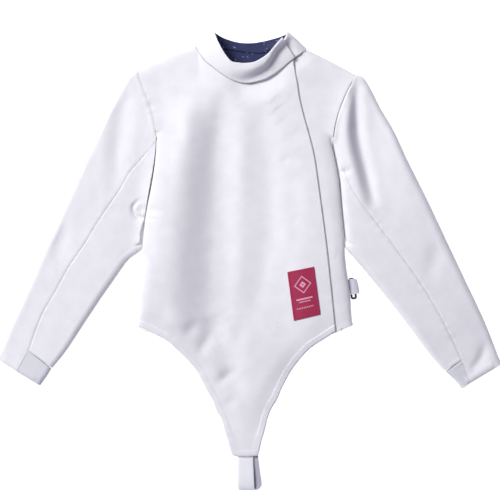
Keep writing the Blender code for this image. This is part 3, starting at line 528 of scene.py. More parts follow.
# short puckers that a line of stitches draws into the cloth beside it
def puckers(x, y, line, depth, reach, spacing, seed):
    gap, travel = nearLine(line, x, y)
    first, second, third = np.random.RandomState(seed).uniform(0, 6.3, 3)
    turn = travel * 2 * math.pi / spacing
    wave = np.sin(turn + 1.6 * np.sin(turn / 3.7 + first) + second)
    strength = 0.55 + 0.45 * np.sin(turn / 5.3 + third)
    return depth * wave * strength * np.exp(-(gap / reach) ** 2)


rightSideLine, leftSideLine = curveThrough(rightSide), curveThrough(leftSide)
rightArmLine, leftArmLine = curveThrough(rightArmhole), curveThrough(leftArmhole)
rightSeamLine, leftSeamLine = curveThrough(rightSeam), curveThrough(leftSeam)
flapLine, hemLine = curveThrough(flapEdge), joined(hemRight, hemTip, hemLeft)
neckLine = curveThrough(frontNeck)

cloth = {"wall": 2.0, "seamGap": 0.36, "seamDepth": 1.0, "seamWidth": 2.4, "sideSeam": 5.8,
         "tuckedSleeve": 8.0, "sunkBeside": {"right": 3.6, "rightLow": 3.4, "left": 1.0},
         "besideReach": 30.0, "flapLift": 3.5, "flapWidth": 46.0, "hemBand": 12.0, "hemRise": 0.9,
         "hemRoll": 1.5, "mottle": 0.12, "mottleSize": 34.0,
         "ridge": 0.9, "ridgeAt": 4.0, "ridgeWidth": 2.2}


def clothHeight(x, y):
    weight, total = 0.0, 0.0
    for px, py, height in loftPoints:
        near = np.exp(-((x - px) ** 2 + (y - py) ** 2) / (2 * loftSpread ** 2)) + 1e-12
        weight = weight + near
        total = total + near * height
    top = total / weight
    for rows in (*folds.values(), *creases.values()):
        top = top + foldHeight(rows, x, y)
    return top + cloth["mottle"] * unevenness(x, y, cloth["mottleSize"], 5)


def bodyTop(x, y):
    top = clothHeight(x, y)
    hemHeight = 5.2 + 9.0 * smooth(-215, -130, y) + 3.0 * smooth(-290, -345, y)
    top = hemHeight + (top - hemHeight) * smooth(-6, 40, distanceTo(hemLine, x, y))
    for line, seed in ((rightArmLine, 21), (leftArmLine, 22)):
        top = top + np.where(x < 0, 1.0, 0.0) * seamRelief(distanceTo(line, x, y), 0.3)
        top = top + puckers(x, y, line, 0.5, 13.0, 17.0, seed)
    return top


# a stitched seam: a narrow groove with a soft rolled ridge beside it
def seamRelief(gap, ridge):
    groove = cloth["seamDepth"] * np.exp(-(gap / cloth["seamWidth"]) ** 2)
    roll = np.exp(-((gap - cloth["ridgeAt"]) / cloth["ridgeWidth"]) ** 2)
    return ridge * cloth["ridge"] * roll - groove


# how far out from the sides of the body, negative under it
def outFromSide(x, y):
    gaps = []
    for line, way in ((rightSideLine[8:], -1.0), (leftSideLine[16:], 1.0)):
        gap = distanceTo(line, x, y)
        gaps.append(np.where((x - np.interp(y, line[:, 1], line[:, 0])) * way < 0, -gap, gap))
    return np.where(x < 0, *gaps)


def sleeveTop(x, y):
    top = clothHeight(x, y)
    side = outFromSide(x, y)
    sunk = cloth["sunkBeside"]
    beside = np.exp(-(np.maximum(side, 0.0) / cloth["besideReach"]) ** 2) * smooth(235, 190, y)
    top = top - np.where(x < 0, sunk["right"] + sunk["rightLow"] * smooth(130, 40, y), sunk["left"]) * beside
    risesUnder = np.interp(side, [-4.5, -2.5, -0.8, 0.2, 1.2], [0.0, 0.4, 0.74, 0.93, 1.0])
    rise = np.where(x < 0, risesUnder, 1.0 - np.exp(-np.maximum(side - 0.6, 0.0) / 4.0))
    top = cloth["tuckedSleeve"] + (top - cloth["tuckedSleeve"]) * rise
    clear = smooth(3, 16, side)
    for line, seed in ((rightSeamLine, 31), (leftSeamLine, 32)):
        top = top + 0.5 * seamRelief(distanceTo(line[8:], x, y), 0.25) * clear
        top = top + puckers(x, y, line, 0.4, 11.0, 21.0, seed) * clear
    for line, seed in ((rightArmLine, 33), (leftArmLine, 34)):
        top = top + np.where(x < 0, 0.7, 1.1) * seamRelief(distanceTo(line, x, y), 1.3) * clear
        top = top + puckers(x, y, line, 0.6, 14.0, 15.0, seed) * clear
    return top


def frontRightTop(x, y):
    fromFlap = distanceTo(flapLine, x, y)
    lift = cloth["flapLift"] * (1.0 - smooth(cloth["flapWidth"], 2.1 * cloth["flapWidth"], fromFlap))
    fromHem = distanceTo(hemLine, x, y)
    band = smooth(0.3, 2.4, fromHem) * (1.0 - smooth(cloth["hemBand"] - 2.0, cloth["hemBand"], fromHem))
    top = bodyTop(x, y) + lift + cloth["hemRise"] * band
    top = top + puckers(x, y, hemLine, 0.4, 14.0, 19.0, 41)
    return top + puckers(x, y, flapLine, 0.3, 12.0, 27.0, 42)


# a soft edge: the outer face turns down in the last millimetre and a half
def edgeFall(gap):
    return 0.8 * (1.0 - np.clip(gap / 1.4, 0.0, 1.0)) ** 2


def patchGrid(bottom, top, left, right, across, along):
    u = np.asarray(across)[None, :, None]
    v = np.asarray(along)[:, None, None]
    ruled = (1 - v) * bottom[None] + v * top[None] + (1 - u) * left[:, None] + u * right[:, None]
    corner = (1 - u) * (1 - v) * bottom[0] + u * (1 - v) * bottom[-1]
    return ruled - corner - (1 - u) * v * top[0] - u * v * top[-1]


def pointsByMix(parts, shares, blend):
    curve = joined(*parts)
    step = np.diff(curve, axis=0)
    length = np.concatenate([[0.0], np.cumsum(np.hypot(step[:, 0], step[:, 1]))])
    width = np.concatenate([[0.0], np.cumsum(np.abs(step[:, 0]))])
    share = blend * length / length[-1] + (1 - blend) * width / width[-1]
    known, wanted, corner = [0.0], [0.0], 0
    for part in parts[:-1]:
        corner += 6 * (len(part) - 1)
        nearest = shares[np.argmin(abs(shares - share[corner]))]
        if nearest <= known[-1]:
            nearest = shares[shares > known[-1]][0]
        known.append(nearest)
        wanted.append(share[corner])
    moved = np.interp(shares, known + [1.0], wanted + [1.0])
    return np.stack([np.interp(moved, share, curve[:, k]) for k in range(2)], 1)


def bodyGrid(bottom, top, left, right, across, along, blend):
    return patchGrid(pointsByMix(bottom, across, blend), pointsByMix(top, across, blend),
                     pointsAt(left, along), pointsAt(right, along), across, along)


def shareList(first, last, length, count):
    start = [step / length for step in first]
    end = [1.0 - step / length for step in last[::-1]]
    between = np.linspace(start[-1], end[0], count + 2)[1:-1]
    return np.array(start + list(between) + end)


# profile of a side edge, inset and height: free, tucked over the sleeve, and at the armhole
def finer(steps, lift=1.0):
    curve = curveThrough([(inset, height * lift) for inset, height in steps], 3)
    return [(inset, height / lift) for inset, height in curve]


rollSteps = finer([(0.0, 0.0), (0.15, 0.22), (2.4, 0.62), (7.0, 0.86), (14.0, 0.97), (24.0, 1.0)], 18)
rightTuck = finer([(8.0, 9.8), (4.2, 13.2), (1.3, 17.4), (0.2, 20.2), (1.4, 22.4), (6.4, 23.8)])
leftTuck = finer([(8.0, 9.8), (3.0, 11.0), (0.6, 13.8), (1.2, 17.2), (4.6, 20.8), (12.0, 23.1)])
armSteps = finer([(0.0, 0.0), (2.0, 0.12), (5.0, 0.32), (10.0, 0.6), (16.0, 0.84), (24.0, 1.0)], 18)
backRollSteps = finer([(0.0, 5.0), (0.12, 3.2), (1.2, 0.9), (4.0, 0.0), (9.0, 0.0), (16.0, 0.0)])
backTuckSteps = finer([(8.7, 9.2), (8.8, 5.6), (10.0, 1.4), (13.0, 0.0), (17.0, 0.0), (22.0, 0.0)])
edgeColumns = len(rollSteps)
edgeInsets = list(np.linspace(0.0, 24.0, edgeColumns))
hemInsets = [0, 0.5, 1.4, 2.8, 4.5, 6.2, 7.8, 9.0, 10.0, 11.0, 12.0, 13.4, 15.5]
softInsets = [0, 0.5, 1.4, 3.2, 6]


def insetColumns(plan, steps, fromLeft=True):
    moved = plan.copy()
    order = range(edgeColumns) if fromLeft else range(-1, -edgeColumns - 1, -1)
    edge = plan[:, 0] if fromLeft else plan[:, -1]
    way = (plan[:, edgeColumns] if fromLeft else plan[:, -edgeColumns - 1]) - edge
    way = way / np.linalg.norm(way, axis=1, keepdims=True)
    for k, column in enumerate(order):
        moved[:, column] = edge + way * np.broadcast_to(steps[k], len(plan))[:, None]
    return moved


def edgeWeights(edge, armStart):
    return smooth(-8, 24, edge[:, 1]), smooth(armStart, armStart + 17, edge[:, 1])


def sideInsets(edge, armStart, roll, tuck, gap=0.0):
    tucked, arm = edgeWeights(edge, armStart)
    return [(1 - arm) * ((1 - tucked) * roll[k][0] + tucked * tuck[k][0]) + arm * (gap + armSteps[k][0])
            for k in range(edgeColumns)]


def sideHeights(edge, armStart, top, k, steps):
    tucked, arm = edgeWeights(edge, armStart)
    rolled = cloth["sideSeam"] + (top - cloth["sideSeam"]) * rollSteps[k][1]
    tuck = steps[k][1] + (top - 24.0) * smooth(1.5, 5, k / 3)
    armEdge = sleeveTop(edge[:, 0], edge[:, 1]) + np.where(edge[:, 0] < 0, 1.2, 2.8)
    arms = armEdge + (top - armEdge) * armSteps[k][1]
    return (1 - arm) * ((1 - tucked) * rolled + tucked * tuck) + arm * arms


def placed(points):
    return (np.asarray(points, float) - (middle[0], middle[1], 0.0)) * mm


# texture place in metres: across the cloth and along it, stretched where it rolls over
def planUv(grid):
    step = np.diff(grid, axis=1)
    flat = np.hypot(step[..., 0], step[..., 1])
    extra = np.sign(step[..., 0]) * (np.hypot(flat, step[..., 2]) - flat)
    centre = grid.shape[1] // 2
    moved = np.concatenate([np.zeros((len(grid), 1)), np.cumsum(extra, axis=1)], axis=1)
    return np.dstack([grid[..., 0] + moved - moved[:, centre:centre + 1], grid[..., 1]]) * mm


def surfaceUv(grid):
    across = np.linalg.norm(np.diff(grid, axis=1), axis=2)
    across = np.concatenate([np.zeros((len(grid), 1)), np.cumsum(across, axis=1)], axis=1)
    along = np.linalg.norm(np.diff(grid[:, :1], axis=0), axis=2)
    along = np.concatenate([[[0.0]], np.cumsum(along, axis=0)], axis=0)
    return np.dstack([across, np.broadcast_to(along, across.shape)]) * mm


def makeCloth(name, grid, wall, surface, uv, flip=False, reverse=None):
    rows, columns = grid.shape[:2]
    first = (np.arange(rows - 1)[:, None] * columns + np.arange(columns - 1)[None]).ravel()
    quads = np.stack([first, first + 1, first + columns + 1, first + columns], 1)
    quads = quads[:, ::-1] if flip else quads
    mesh = bpy.data.meshes.new(name)
    mesh.from_pydata(placed(grid.reshape(-1, 3)).tolist(), [], quads.tolist())
    layer = mesh.uv_layers.new(name="cloth")
    layer.data.foreach_set("uv", uv.reshape(-1, 2)[quads.ravel()].ravel())
    mesh.materials.append(surface)
    piece = bpy.data.objects.new(name, mesh)
    bpy.context.scene.collection.objects.link(piece)
    wallOf = piece.modifiers.new("wall", "SOLIDIFY")
    wallOf.thickness = wall * mm
    wallOf.offset = -1.0
    # a second material goes on the inner faces; on the crotch strap it is painted shade
    if reverse is not None:
        mesh.materials.append(reverse)
        wallOf.material_offset = 1
    applyAll(piece)
    bpy.ops.object.shade_smooth_by_angle(angle=math.radians(40))
    piece.select_set(False)
    return piece


def applyAll(piece):
    selectNone()
    bpy.context.view_layer.objects.active = piece
    piece.select_set(True)
    for modifier in list(piece.modifiers):
        bpy.ops.object.modifier_apply(modifier=modifier.name)


# puts a finished piece on the frame with the pieces that go with it, and hides the nodes that it stands for
def settle(piece, nodes, along=()):
    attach(piece, "root")
    for extra in along:
        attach(extra, "root")
    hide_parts(*nodes)


def neckHeights(x):
    table = sorted((row[0], row[2]) for row in collarStations[:13])
    return np.interp(x, [row[0] for row in table], [row[1] for row in table]) - 0.6 - collarLift(x)


# how far the collar's lower edge stands off the body, most at its middle and its free end
def collarLift(x):
    return collar["lift"] * smooth(-46, -4, x) * (1.0 - 0.6 * smooth(36, 84, x))


# collar, from its free front end round the neck: bottom x y z, top x y z, inset
collarStations = [
    (87, 371, 25.5, 63.5, 407.5, 39.5, 0), (77, 363, 26, 54.8, 398.5, 42, 0),
    (64, 352, 26, 45.5, 387, 43, 0), (49, 341, 26, 36, 376.5, 44, 0),
    (33, 332, 26, 24, 368, 44.5, 0), (17, 327, 25.6, 12, 362, 45, 0),
    (0, 324, 25.4, -2, 360, 45, 0), (-17, 326, 25.4, -16, 360.3, 45, 0),
    (-33, 332, 25.6, -30, 363, 44, 0), (-49, 342, 25.4, -40, 374, 43, 0),
    (-65, 354, 24, -49, 389, 42, 0), (-80, 367, 21, -57, 405, 38, 0),
    (-91, 382, 17, -61, 416, 32, 0), (-96, 394, 12, -64, 422, 22, 0),
    (-93, 395.5, 3, -63, 422, 8, 0), (-85, 388, 0.3, -59, 418.5, 1.5, 0),
    (-70, 376, 0, -51, 413, 0, 0), (-52, 366, 0, -40, 408, 0, 0),
    (-30, 359, 0, -24, 403, 0, 0), (-8, 356, 0, -8, 400.5, 0, 0),
    (12, 356, 0, 9, 400.5, 0, 0), (34, 359, 0, 26, 403, 0, 0),
    (56, 366, 0, 43, 407, 0, 0), (78, 378, 0, 59, 411.5, 0, 0),
    (96, 387, 0.3, 69, 416, 1.5, 0), (107, 391, 3, 75, 420.5, 8, 0),
    (109, 387, 12, 73, 419, 20, 0.6), (101, 380.5, 21.5, 71.5, 413.5, 29.5, 2.0),
    (90, 373, 24, 67.5, 405.5, 34.5, 3.8), (77, 363, 24.6, 58, 396, 39, 4.8),
    (64, 352, 25.6, 47, 386, 41.5, 4.8), (54, 344, 26.4, 39, 378.5, 42.5, 4.8)]


collar = {"lift": 6.2}


# the wearer's right front: the flap, the pointed lower front and its turned hem
rightFront = {"cut": (0.39, 0.75), "columns": 84, "rows": 142}


# the columns beside an edge lie as far from the shoulder line as the next column does
def levelAtEdge(gap, fromLeft=True):
    if fromLeft:
        gap[:, :edgeColumns] = gap[:, edgeColumns, None]
    else:
        gap[:, -edgeColumns:] = gap[:, -edgeColumns - 1, None]
    return gap


def shoulderRoll(x, y, line, height, fromLeft=True):
    gap = levelAtEdge(distanceTo(line, x, y), fromLeft)
    roll = np.interp(gap, [s[0] for s in rollSteps[1:]], [s[1] for s in rollSteps[1:]])
    roll = np.where(gap < 0.05, 0.0, roll)
    roll = 1.0 - (1.0 - roll) * smooth(200, 330, y)
    return cloth["sideSeam"] + (height - cloth["sideSeam"]) * roll, smooth(2, 20, gap)


def buildRightFront():
    left = joined(rightSide, rightArmhole)
    across = shareList(edgeInsets, softInsets, 350.0, rightFront["columns"])
    along = shareList(hemInsets, [0, 0.2, 1.2, 2.4, 4.5, 7, 10, 14], 500.0, rightFront["rows"])
    plan = bodyGrid([hemRight, hemTip, hemLeft], [rightShoulder, frontNeck], left, flapLine,
                    across, along, 0.5)
    edge = plan[:, 0].copy()
    plan = insetColumns(plan, sideInsets(edge, 221, rollSteps, rightTuck))
    x, y = plan[..., 0], plan[..., 1]
    height = frontRightTop(x, y)
    for k in range(edgeColumns):
        height[:, k] = sideHeights(edge, 221, height[:, k], k, rightTuck)
    height, clear = shoulderRoll(x, y, curveThrough(rightShoulder), height)
    nearNeck = (1.0 - smooth(0, 42, distanceTo(neckLine, x, y))) * clear
    height = height + nearNeck * (neckHeights(x) - height)
    height = height - edgeFall(distanceTo(flapLine, x, y)) - edgeFall(distanceTo(hemLine, x, y))
    grid = np.dstack([plan, height])
    return makeCloth("rightFront", grid, cloth["wall"], materials["twill"], planUv(grid)), grid


# the wearer's left front, which runs on under the flap
leftFront = {"cut": (0.185, 0.54), "columns": 26, "rows": 132}


def buildLeftFront():
    right = joined(leftSide, leftArmhole)
    across = shareList([0, 0.5, 1.4, 4, 9, 18], edgeInsets, 90.0, leftFront["columns"])
    along = shareList(hemInsets, [0, 0.2, 1.2, 2.4, 4.5, 7, 10, 14], 500.0, leftFront["rows"])
    plan = bodyGrid([leftHem], [leftNeck, leftShoulder], curveThrough(underFlapEdge), right,
                    across, along, 1.0)
    edge = plan[:, -1].copy()
    plan = insetColumns(plan, sideInsets(edge, 211, rollSteps, leftTuck), fromLeft=False)
    x, y = plan[..., 0], plan[..., 1]
    height = bodyTop(x, y)
    for k in range(edgeColumns):
        height[:, -1 - k] = sideHeights(edge, 211, height[:, -1 - k], k, leftTuck)
    height, clear = shoulderRoll(x, y, curveThrough(leftShoulder), height, False)
    nearNeck = (1.0 - smooth(0, 24, distanceTo(curveThrough(leftNeck), x, y))) * clear
    neck = np.interp(x, [52, 67, 87, 98, 111], [20.5, 19.5, 17.0, 15.5, 13.5])
    height = height + nearNeck * (neck - height) - edgeFall(distanceTo(curveThrough(leftHem), x, y))
    grid = np.dstack([plan, height])
    return makeCloth("leftFront", grid, cloth["wall"], materials["twill"], planUv(grid)), grid


# the back lies on the floor: flat, but for a few shallow creases that arch off it
back = {"cut": (0.45, 0.54), "columns": 66, "rows": 110, "arch": 1.3, "archSize": 90.0}


def buildBack():
    left, right = joined(rightSide, rightArmhole), joined(leftSide, leftArmhole)
    across = shareList(edgeInsets, edgeInsets, 370.0, back["columns"])
    along = shareList([0, 0.5, 1.4, 4, 8, 12], [0, 0.15, 1.4, 3, 5, 9], 490.0, back["rows"])
    plan = bodyGrid([backHem], [rightShoulder, backNeck, leftShoulder], left, right, across, along, 0.6)
    height = np.zeros(plan.shape[:2])
    for fromLeft, armStart in ((True, 221), (False, 211)):
        edge = plan[:, 0 if fromLeft else -1].copy()
        tucked, arm = edgeWeights(edge, armStart)
        plan = insetColumns(plan, sideInsets(edge, armStart, backRollSteps, backTuckSteps,
                                             cloth["seamGap"]), fromLeft)
        for k in range(edgeColumns):
            rise = (1 - tucked) * backRollSteps[k][1] + tucked * backTuckSteps[k][1]
            height[:, k if fromLeft else -1 - k] = (1 - arm) * rise
    x, y = plan[..., 0], plan[..., 1]
    shoulders = np.minimum(levelAtEdge(distanceTo(curveThrough(rightShoulder), x, y)),
                           levelAtEdge(distanceTo(curveThrough(leftShoulder), x, y), False))
    atShoulder = (1.0 - smooth(-103, -98, x)) + smooth(111, 116, x)
    rise = np.interp(shoulders, [s[0] for s in backRollSteps[:10]], [s[1] for s in backRollSteps[:10]])
    height = np.maximum(height, rise * atShoulder * (y > 320))
    outline = np.concatenate([left, joined(rightShoulder, backNeck, leftShoulder), right[::-1],
                              curveThrough(backHem)[::-1]])
    arch = back["arch"] * np.maximum(unevenness(x, y, back["archSize"], 61) - 0.25, 0.0)
    height = np.maximum(height, arch * smooth(14, 44, distanceTo(outline, x, y)))
    grid = np.dstack([plan, height])
    return makeCloth("backPanel", grid, cloth["wall"], materials["twill"], planUv(grid), flip=True), grid


front, frontGrid = buildRightFront()
under, underGrid = buildLeftFront()
behind, behindGrid = buildBack()
print("body panels are made")


# each sleeve panel runs from the seam over its fold and back under to the seam
sleeve = {"cutUpper": {"right": (0.29, 0.60), "left": (0.315, 0.605)},
          "cutUnder": {"right": (0.215, 0.49), "left": (0.165, 0.49)},
          "cutInset": {"right": (0.12, 0.046), "left": (0.082, 0.046)},
          "rows": 120, "foldSteps": 15, "topColumns": 40, "underTop": 52, "underColumns": 8}


def edgeRoll(gap):
    return 3.0 * (1.0 - np.clip(gap / 3.4, 0.0, 1.0)) ** 2


def foldedPanel(name, seamPoints, foldPoints, shares, surface, topCount, length, head=None,
                headWay=0.0, drop=0.0, hem=True):
    way = foldPoints - seamPoints
    width = np.linalg.norm(way, axis=1)[:, None]
    way = way / width
    probe = seamPoints + way * (width - np.minimum(12.0, 0.45 * width))
    tucked, free = cloth["tuckedSleeve"], smooth(-9, 2, outFromSide(foldPoints[:, 0], foldPoints[:, 1]))
    high = tucked + (sleeveTop(probe[:, 0], probe[:, 1]) - tucked) * free
    high = (high - drop * free)[:, None]
    radius = np.minimum((0.35 + 0.2 * free[:, None]) * high, 0.45 * width)
    flat = width - radius
    first = cloth["seamGap"] / 2
    ease = np.linspace(0.0, 1.0, topCount)[None] ** 1.15
    turn = np.radians(np.linspace(0, 180, sleeve["foldSteps"]))[None]
    under = np.linspace(1.0, 0.0, sleeve["underColumns"])[None, 1:]
    place = np.hstack([first + (flat - first) * ease[:, :-1], flat + radius * np.sin(turn),
                       first + (flat - first) * under])
    level = np.hstack([np.full((len(width), topCount - 1), np.nan),
                       np.broadcast_to(0.5 * (1 + np.cos(turn)), (len(width), turn.shape[1])),
                       np.zeros((len(width), under.shape[1]))])
    x = seamPoints[:, :1] + way[:, :1] * place
    y = seamPoints[:, 1:] + way[:, 1:] * place
    share = np.asarray(shares)[:, None]
    if head is not None:
        t = place / width
        bow = pointsAt(head, t) - (head[0] + (head[-1] - head[0]) * t[..., None])
        fade = np.maximum(0.0, 1.0 - share / 0.22)
        x = x + bow[..., 0] * fade + headWay * cloth["seamGap"] * np.maximum(0.0, 1.0 - share / 0.05)
        y = y + bow[..., 1] * fade
    top = sleeveTop(x, y) - drop
    toEnd, fromStart = (1.0 - share) * length, share * length
    if hem:
        top = top + cloth["hemRoll"] * smooth(14.0, 10.0, toEnd) - edgeRoll(toEnd)
    for gap, ridged in ((toEnd, not hem), (fromStart, head is None and hem)):
        if ridged:
            top = top + cloth["ridge"] * np.exp(-((gap - 3.0) / 1.7) ** 2)
    ahead = 2.2 + 8.0 * smooth(0.3, 1.0, free)[:, None]
    top = top + (high - top) * smooth(flat - ahead, flat, place)
    lying = 1.1 * np.maximum(unevenness(x, y, 60.0, 71) - 0.3, 0.0) * (level == 0)
    lying = lying * smooth(0.05, 0.3, share) * smooth(0.0, 0.12, 1 - share)
    lying = lying * smooth(0, 20, place) * smooth(0, 20, flat - place)
    z = np.where(np.isnan(level), top, high * np.nan_to_num(level) + lying)
    z = np.where(level == 1.0, high, z)
    grid = np.dstack([x, y, z])
    step, over = grid[1, 0] - grid[0, 0], grid[0, 1] - grid[0, 0]
    facesUp = over[0] * step[1] - over[1] * step[0] > 0
    return makeCloth(name, grid, cloth["wall"], surface, surfaceUv(grid), flip=not facesUp), grid


def buildSleeve(side, seam, outer, inner, cuffSeam, cuffInner, head, headWay):
    seamLine, whole = curveThrough(seam), joined(seam, cuffSeam)
    underLength, wholeLength = lengthOf(seamLine), lengthOf(whole)
    lower = shareList([0, 0.6, 2, 4, 8, 12], [0, 0.5, 1.4, 3, 6, 10], underLength, sleeve["rows"])
    lower = lower * underLength / wholeLength
    cuffStart = (underLength + 0.45) / wholeLength
    cuff = cuffStart + (1.0 - cuffStart) * shareList([0, 0.5, 1.4, 3], [0, 0.5, 1.2, 2.4], 42.0, 10)
    upper = np.concatenate([lower, cuff[1:]])
    down, end = lower / lower[-1], (cuff - cuff[0]) / (1.0 - cuff[0])
    fold, innerFold, cuffFold = [pointsAt(curveThrough(line), shares)
                                 for line, shares in ((outer, upper), (inner, down), (cuffInner, end))]
    made = foldedPanel("upperSleeve" + side, pointsAt(whole, upper), fold, upper, materials["twill"],
                       sleeve["topColumns"], wholeLength, head, headWay)
    below = foldedPanel("underSleeve" + side, pointsAt(whole, lower), innerFold, down,
                        materials["twill"], sleeve["underTop"], underLength, hem=False)
    inset = foldedPanel("cuffInset" + side, pointsAt(whole, cuff), cuffFold, end,
                        materials["elastic"], 16, lengthOf(curveThrough(cuffSeam)), drop=0.6)
    return made, below, inset


rightArm = buildSleeve("Right", rightSeam, rightOuter, rightInner, rightCuffSeam, rightCuffInner,
                       rightArmLine, -1.0)
leftArm = buildSleeve("Left", leftSeam, leftOuter, leftInner, leftCuffSeam, leftCuffInner,
                      leftArmLine, 1.0)
print("sleeves are made")


# the stand collar, one band round the neck, and the navy lining that shows inside its back
collar |= {"wall": 2.4, "bulge": 1.2, "between": 5, "cut": (0.54, 0.055),
          "turnUnder": [(-3.2, 0.6, 0.95), (-1.4, 0.4, 0.8), (-0.2, 0.2, 0.42)], "fold": 0.84,
          "foldAt": [(-8, 0.4, 0.3), (37, 0.56, 0.16), (64, 0.8, 0.11)],
          "levels": [0, 0.012, 0.035, 0.07, 0.12, 0.19, 0.28, 0.38, 0.5, 0.62, 0.72, 0.81, 0.88,
                     0.93, 0.965, 0.988, 1.0]}
lining = {"wall": 1.2, "cut": (0.226, 0.045), "first": 12, "last": 25, "bottom": 0.02, "top": 0.985,
          "crease": [(-60, 398), (-44, 390.4), (-20, 385.7), (4, 382.4), (27, 382), (38, 386),
                     (60, 400)],
          "creaseRise": 3.0}


def movedInward(grid, distance):
    normal = np.cross(np.gradient(grid, axis=1), np.gradient(grid, axis=0))
    normal = normal / np.maximum(np.linalg.norm(normal, axis=2, keepdims=True), 1e-9)
    distance = np.asarray(distance)
    return grid - normal * (distance[:, None, None] if distance.ndim == 1 else distance[..., None])


def collarGrid(levels, folded=0.0):
    table = curveThrough(collarStations, collar["between"])
    level = np.array(levels)[None, :, None]
    grid = table[:, None, :3] * (1 - level) + table[:, None, 3:6] * level
    x = table[:, :1]
    share = folded * collar["fold"] * smooth(-44, 6, x) * smooth(14, 22, table[:, 2:3])
    at, half = [np.interp(x, [row[0] for row in collar["foldAt"]], [row[k] for row in collar["foldAt"]])
                for k in (1, 2)]
    step = smooth(at - half, at + half, level[..., 0])
    grid[..., 2] += share * (step - level[..., 0]) * (table[:, 5:6] - table[:, 2:3])
    grid[..., 2] = np.clip(grid[..., 2], 0.0, 45.0)
    swell = collar["bulge"] * 4 * level[..., 0] * (1 - level[..., 0]) * smooth(2, 16, grid[..., 2])
    return movedInward(grid, -swell), table[:, 6]


def buildCollar():
    grid, inset = collarGrid(collar["levels"], 1.0)
    grid = movedInward(grid, inset)
    travel = np.arange(len(grid))[:, None] * 10.0 / collar["between"]
    level = np.array(collar["levels"])[None]
    standing = smooth(6, 20, grid[..., 2])
    ripple = 0.45 * unevenness(travel, level * 40.0, 26.0, 81) * standing
    rim = edgeFall(level * 43.0) + edgeFall((1 - level) * 43.0)
    rim = rim + edgeFall(np.arange(len(grid))[:, None] * 2.2) * np.ones_like(level)
    grid = movedInward(grid, rim * standing - ripple)
    out = (grid[:, 0] - grid[:, 6]) * (1, 1, 0)
    out = out / np.linalg.norm(out, axis=1, keepdims=True)
    stands = standing[:, :1]
    lift = (collarLift(grid[:, :1, 0]) + 0.6) * stands
    turned = [grid[:, :1] + (out * (stands * tuck + (1 - stands) * flat) - lift * (0, 0, 1) * drop)[:, None]
              for tuck, flat, drop in collar["turnUnder"]]
    grid = np.concatenate([*turned, grid], axis=1)
    return makeCloth("collarBand", grid, collar["wall"], materials["twill"], surfaceUv(grid)), grid


def buildLining():
    grid, inset = collarGrid(np.linspace(lining["bottom"], lining["top"], 36))
    station = np.arange(len(grid)) / collar["between"]
    nearFold = 1.0 - smooth(1.0, 3.5, np.minimum(abs(station - 13.5), abs(station - 25.5)))
    grid = movedInward(grid, inset + collar["wall"] + 0.35 + 1.5 * nearFold)
    grid = grid + (grid[:, -1:] - grid) * (0.12 * nearFold)[:, None, None]
    first, last = lining["first"] * collar["between"], lining["last"] * collar["between"] + 1
    grid = grid[first:last]
    crease = curveThrough(lining["crease"])
    above = grid[..., 1] - np.interp(grid[..., 0], crease[:, 0], crease[:, 1])
    rise = lining["creaseRise"] * smooth(-0.8, 0.8, above) * np.exp(-np.maximum(above, 0.0) / 9.0)
    flatHere = np.exp(-((grid[:, -1, 2] - grid[:, 0, 2]) / 4.0) ** 2)[:, None]
    grid[..., 2] += (rise + 0.25 * unevenness(grid[..., 0], grid[..., 1], 20.0, 91) + 0.3) * flatHere
    return makeCloth("collarLining", grid, lining["wall"], materials["lining"], surfaceUv(grid)), grid


band, bandGrid = buildCollar()
inside, insideGrid = buildLining()
print("collar is made")


# crotch strap: left edge x y, right edge x y, height of its outer face
crotchStrap = {"wall": 1.8, "cut": (0.030, 0.39), "columns": 12, "stations": [
    (-18, -342, 9.6, -342, 5.2), (-18, -366, 9.8, -366, 5.3), (-18, -384, 10.3, -384, 6.4),
    (-18, -404, 11.2, -404, 8.0), (-18, -417.5, 12, -418, 7.9), (-17.6, -425, 12.6, -426, 6.2),
    (-15.5, -428, 15.5, -428, 3.8), (-9, -426.5, 21.5, -425.5, 1.2), (-2.4, -419, 26, -419, 0.0),
    (-4.4, -398, 23.4, -398, 0.0), (-8, -369, 19.7, -369, 0.0), (-10.4, -342, 17.2, -342, 0.0),
    (-13, -270, 14.6, -270, 0.0), (-14, -170, 13.6, -170, 0.0), (-14, -160, 13.6, -160, 1.2),
    (-14, -153, 13.6, -153, 2.5), (-14, -136, 13.6, -136, 2.6)]}


def buildCrotchStrap():
    table = curveThrough(crotchStrap["stations"], 7)
    share = np.linspace(0.0, 1.0, crotchStrap["columns"])[None, :, None]
    plan = table[:, None, :2] * (1 - share) + table[:, None, 2:4] * share
    height = np.maximum(table[:, 4:5], 0.0) * np.ones((1, crotchStrap["columns"]))
    edge = 0.5 * (np.abs(share[..., 0] - 0.5) * 2) ** 10 * smooth(2.0, 5.0, height)
    grid = np.dstack([plan, height - edge])
    # the strap's inner faces, up on the back strand, take the grey painted shade
    return makeCloth("crotchStrap", grid, crotchStrap["wall"], materials["strap"], surfaceUv(grid),
                     flip=True, reverse=materials["strapPaintedShade"]), grid


# side strap: a folded tab of webbing, share of the way out from the side and height
sideStrap = {"wall": 1.3, "cut": (0.029, 0.038), "start": [(186.6, -37.6), (190.2, -66.6)],
             "fold": [(201.2, -36.2), (204.6, -47.5), (207.2, -63.0)],
             "steps": [(0.0, 7.8), (0.3, 8.8), (0.62, 9.2), (0.88, 8.4), (1.0, 4.8), (0.9, 1.0),
                       (0.7, 0.0), (0.4, 0.0), (0.1, 0.0)]}


def buildSideStrap():
    across = np.linspace(0, 1, 12)
    bases = pointsAt(np.array(sideStrap["start"], float), across)
    ends = pointsAt(curveThrough(sideStrap["fold"]), across)
    steps = curveThrough([(share * 16, z) for share, z in sideStrap["steps"]], 6)
    rows = [np.dstack([(bases + (ends - bases) * share / 16)[None], np.full((1, 12, 1), max(z, 0.0))])
            for share, z in steps]
    grid = np.concatenate(rows)
    return makeCloth("sideStrap", grid, sideStrap["wall"], materials["webbing"], surfaceUv(grid)), grid


strap, strapGrid = buildCrotchStrap()
tab, tabGrid = buildSideStrap()
print("straps are made")


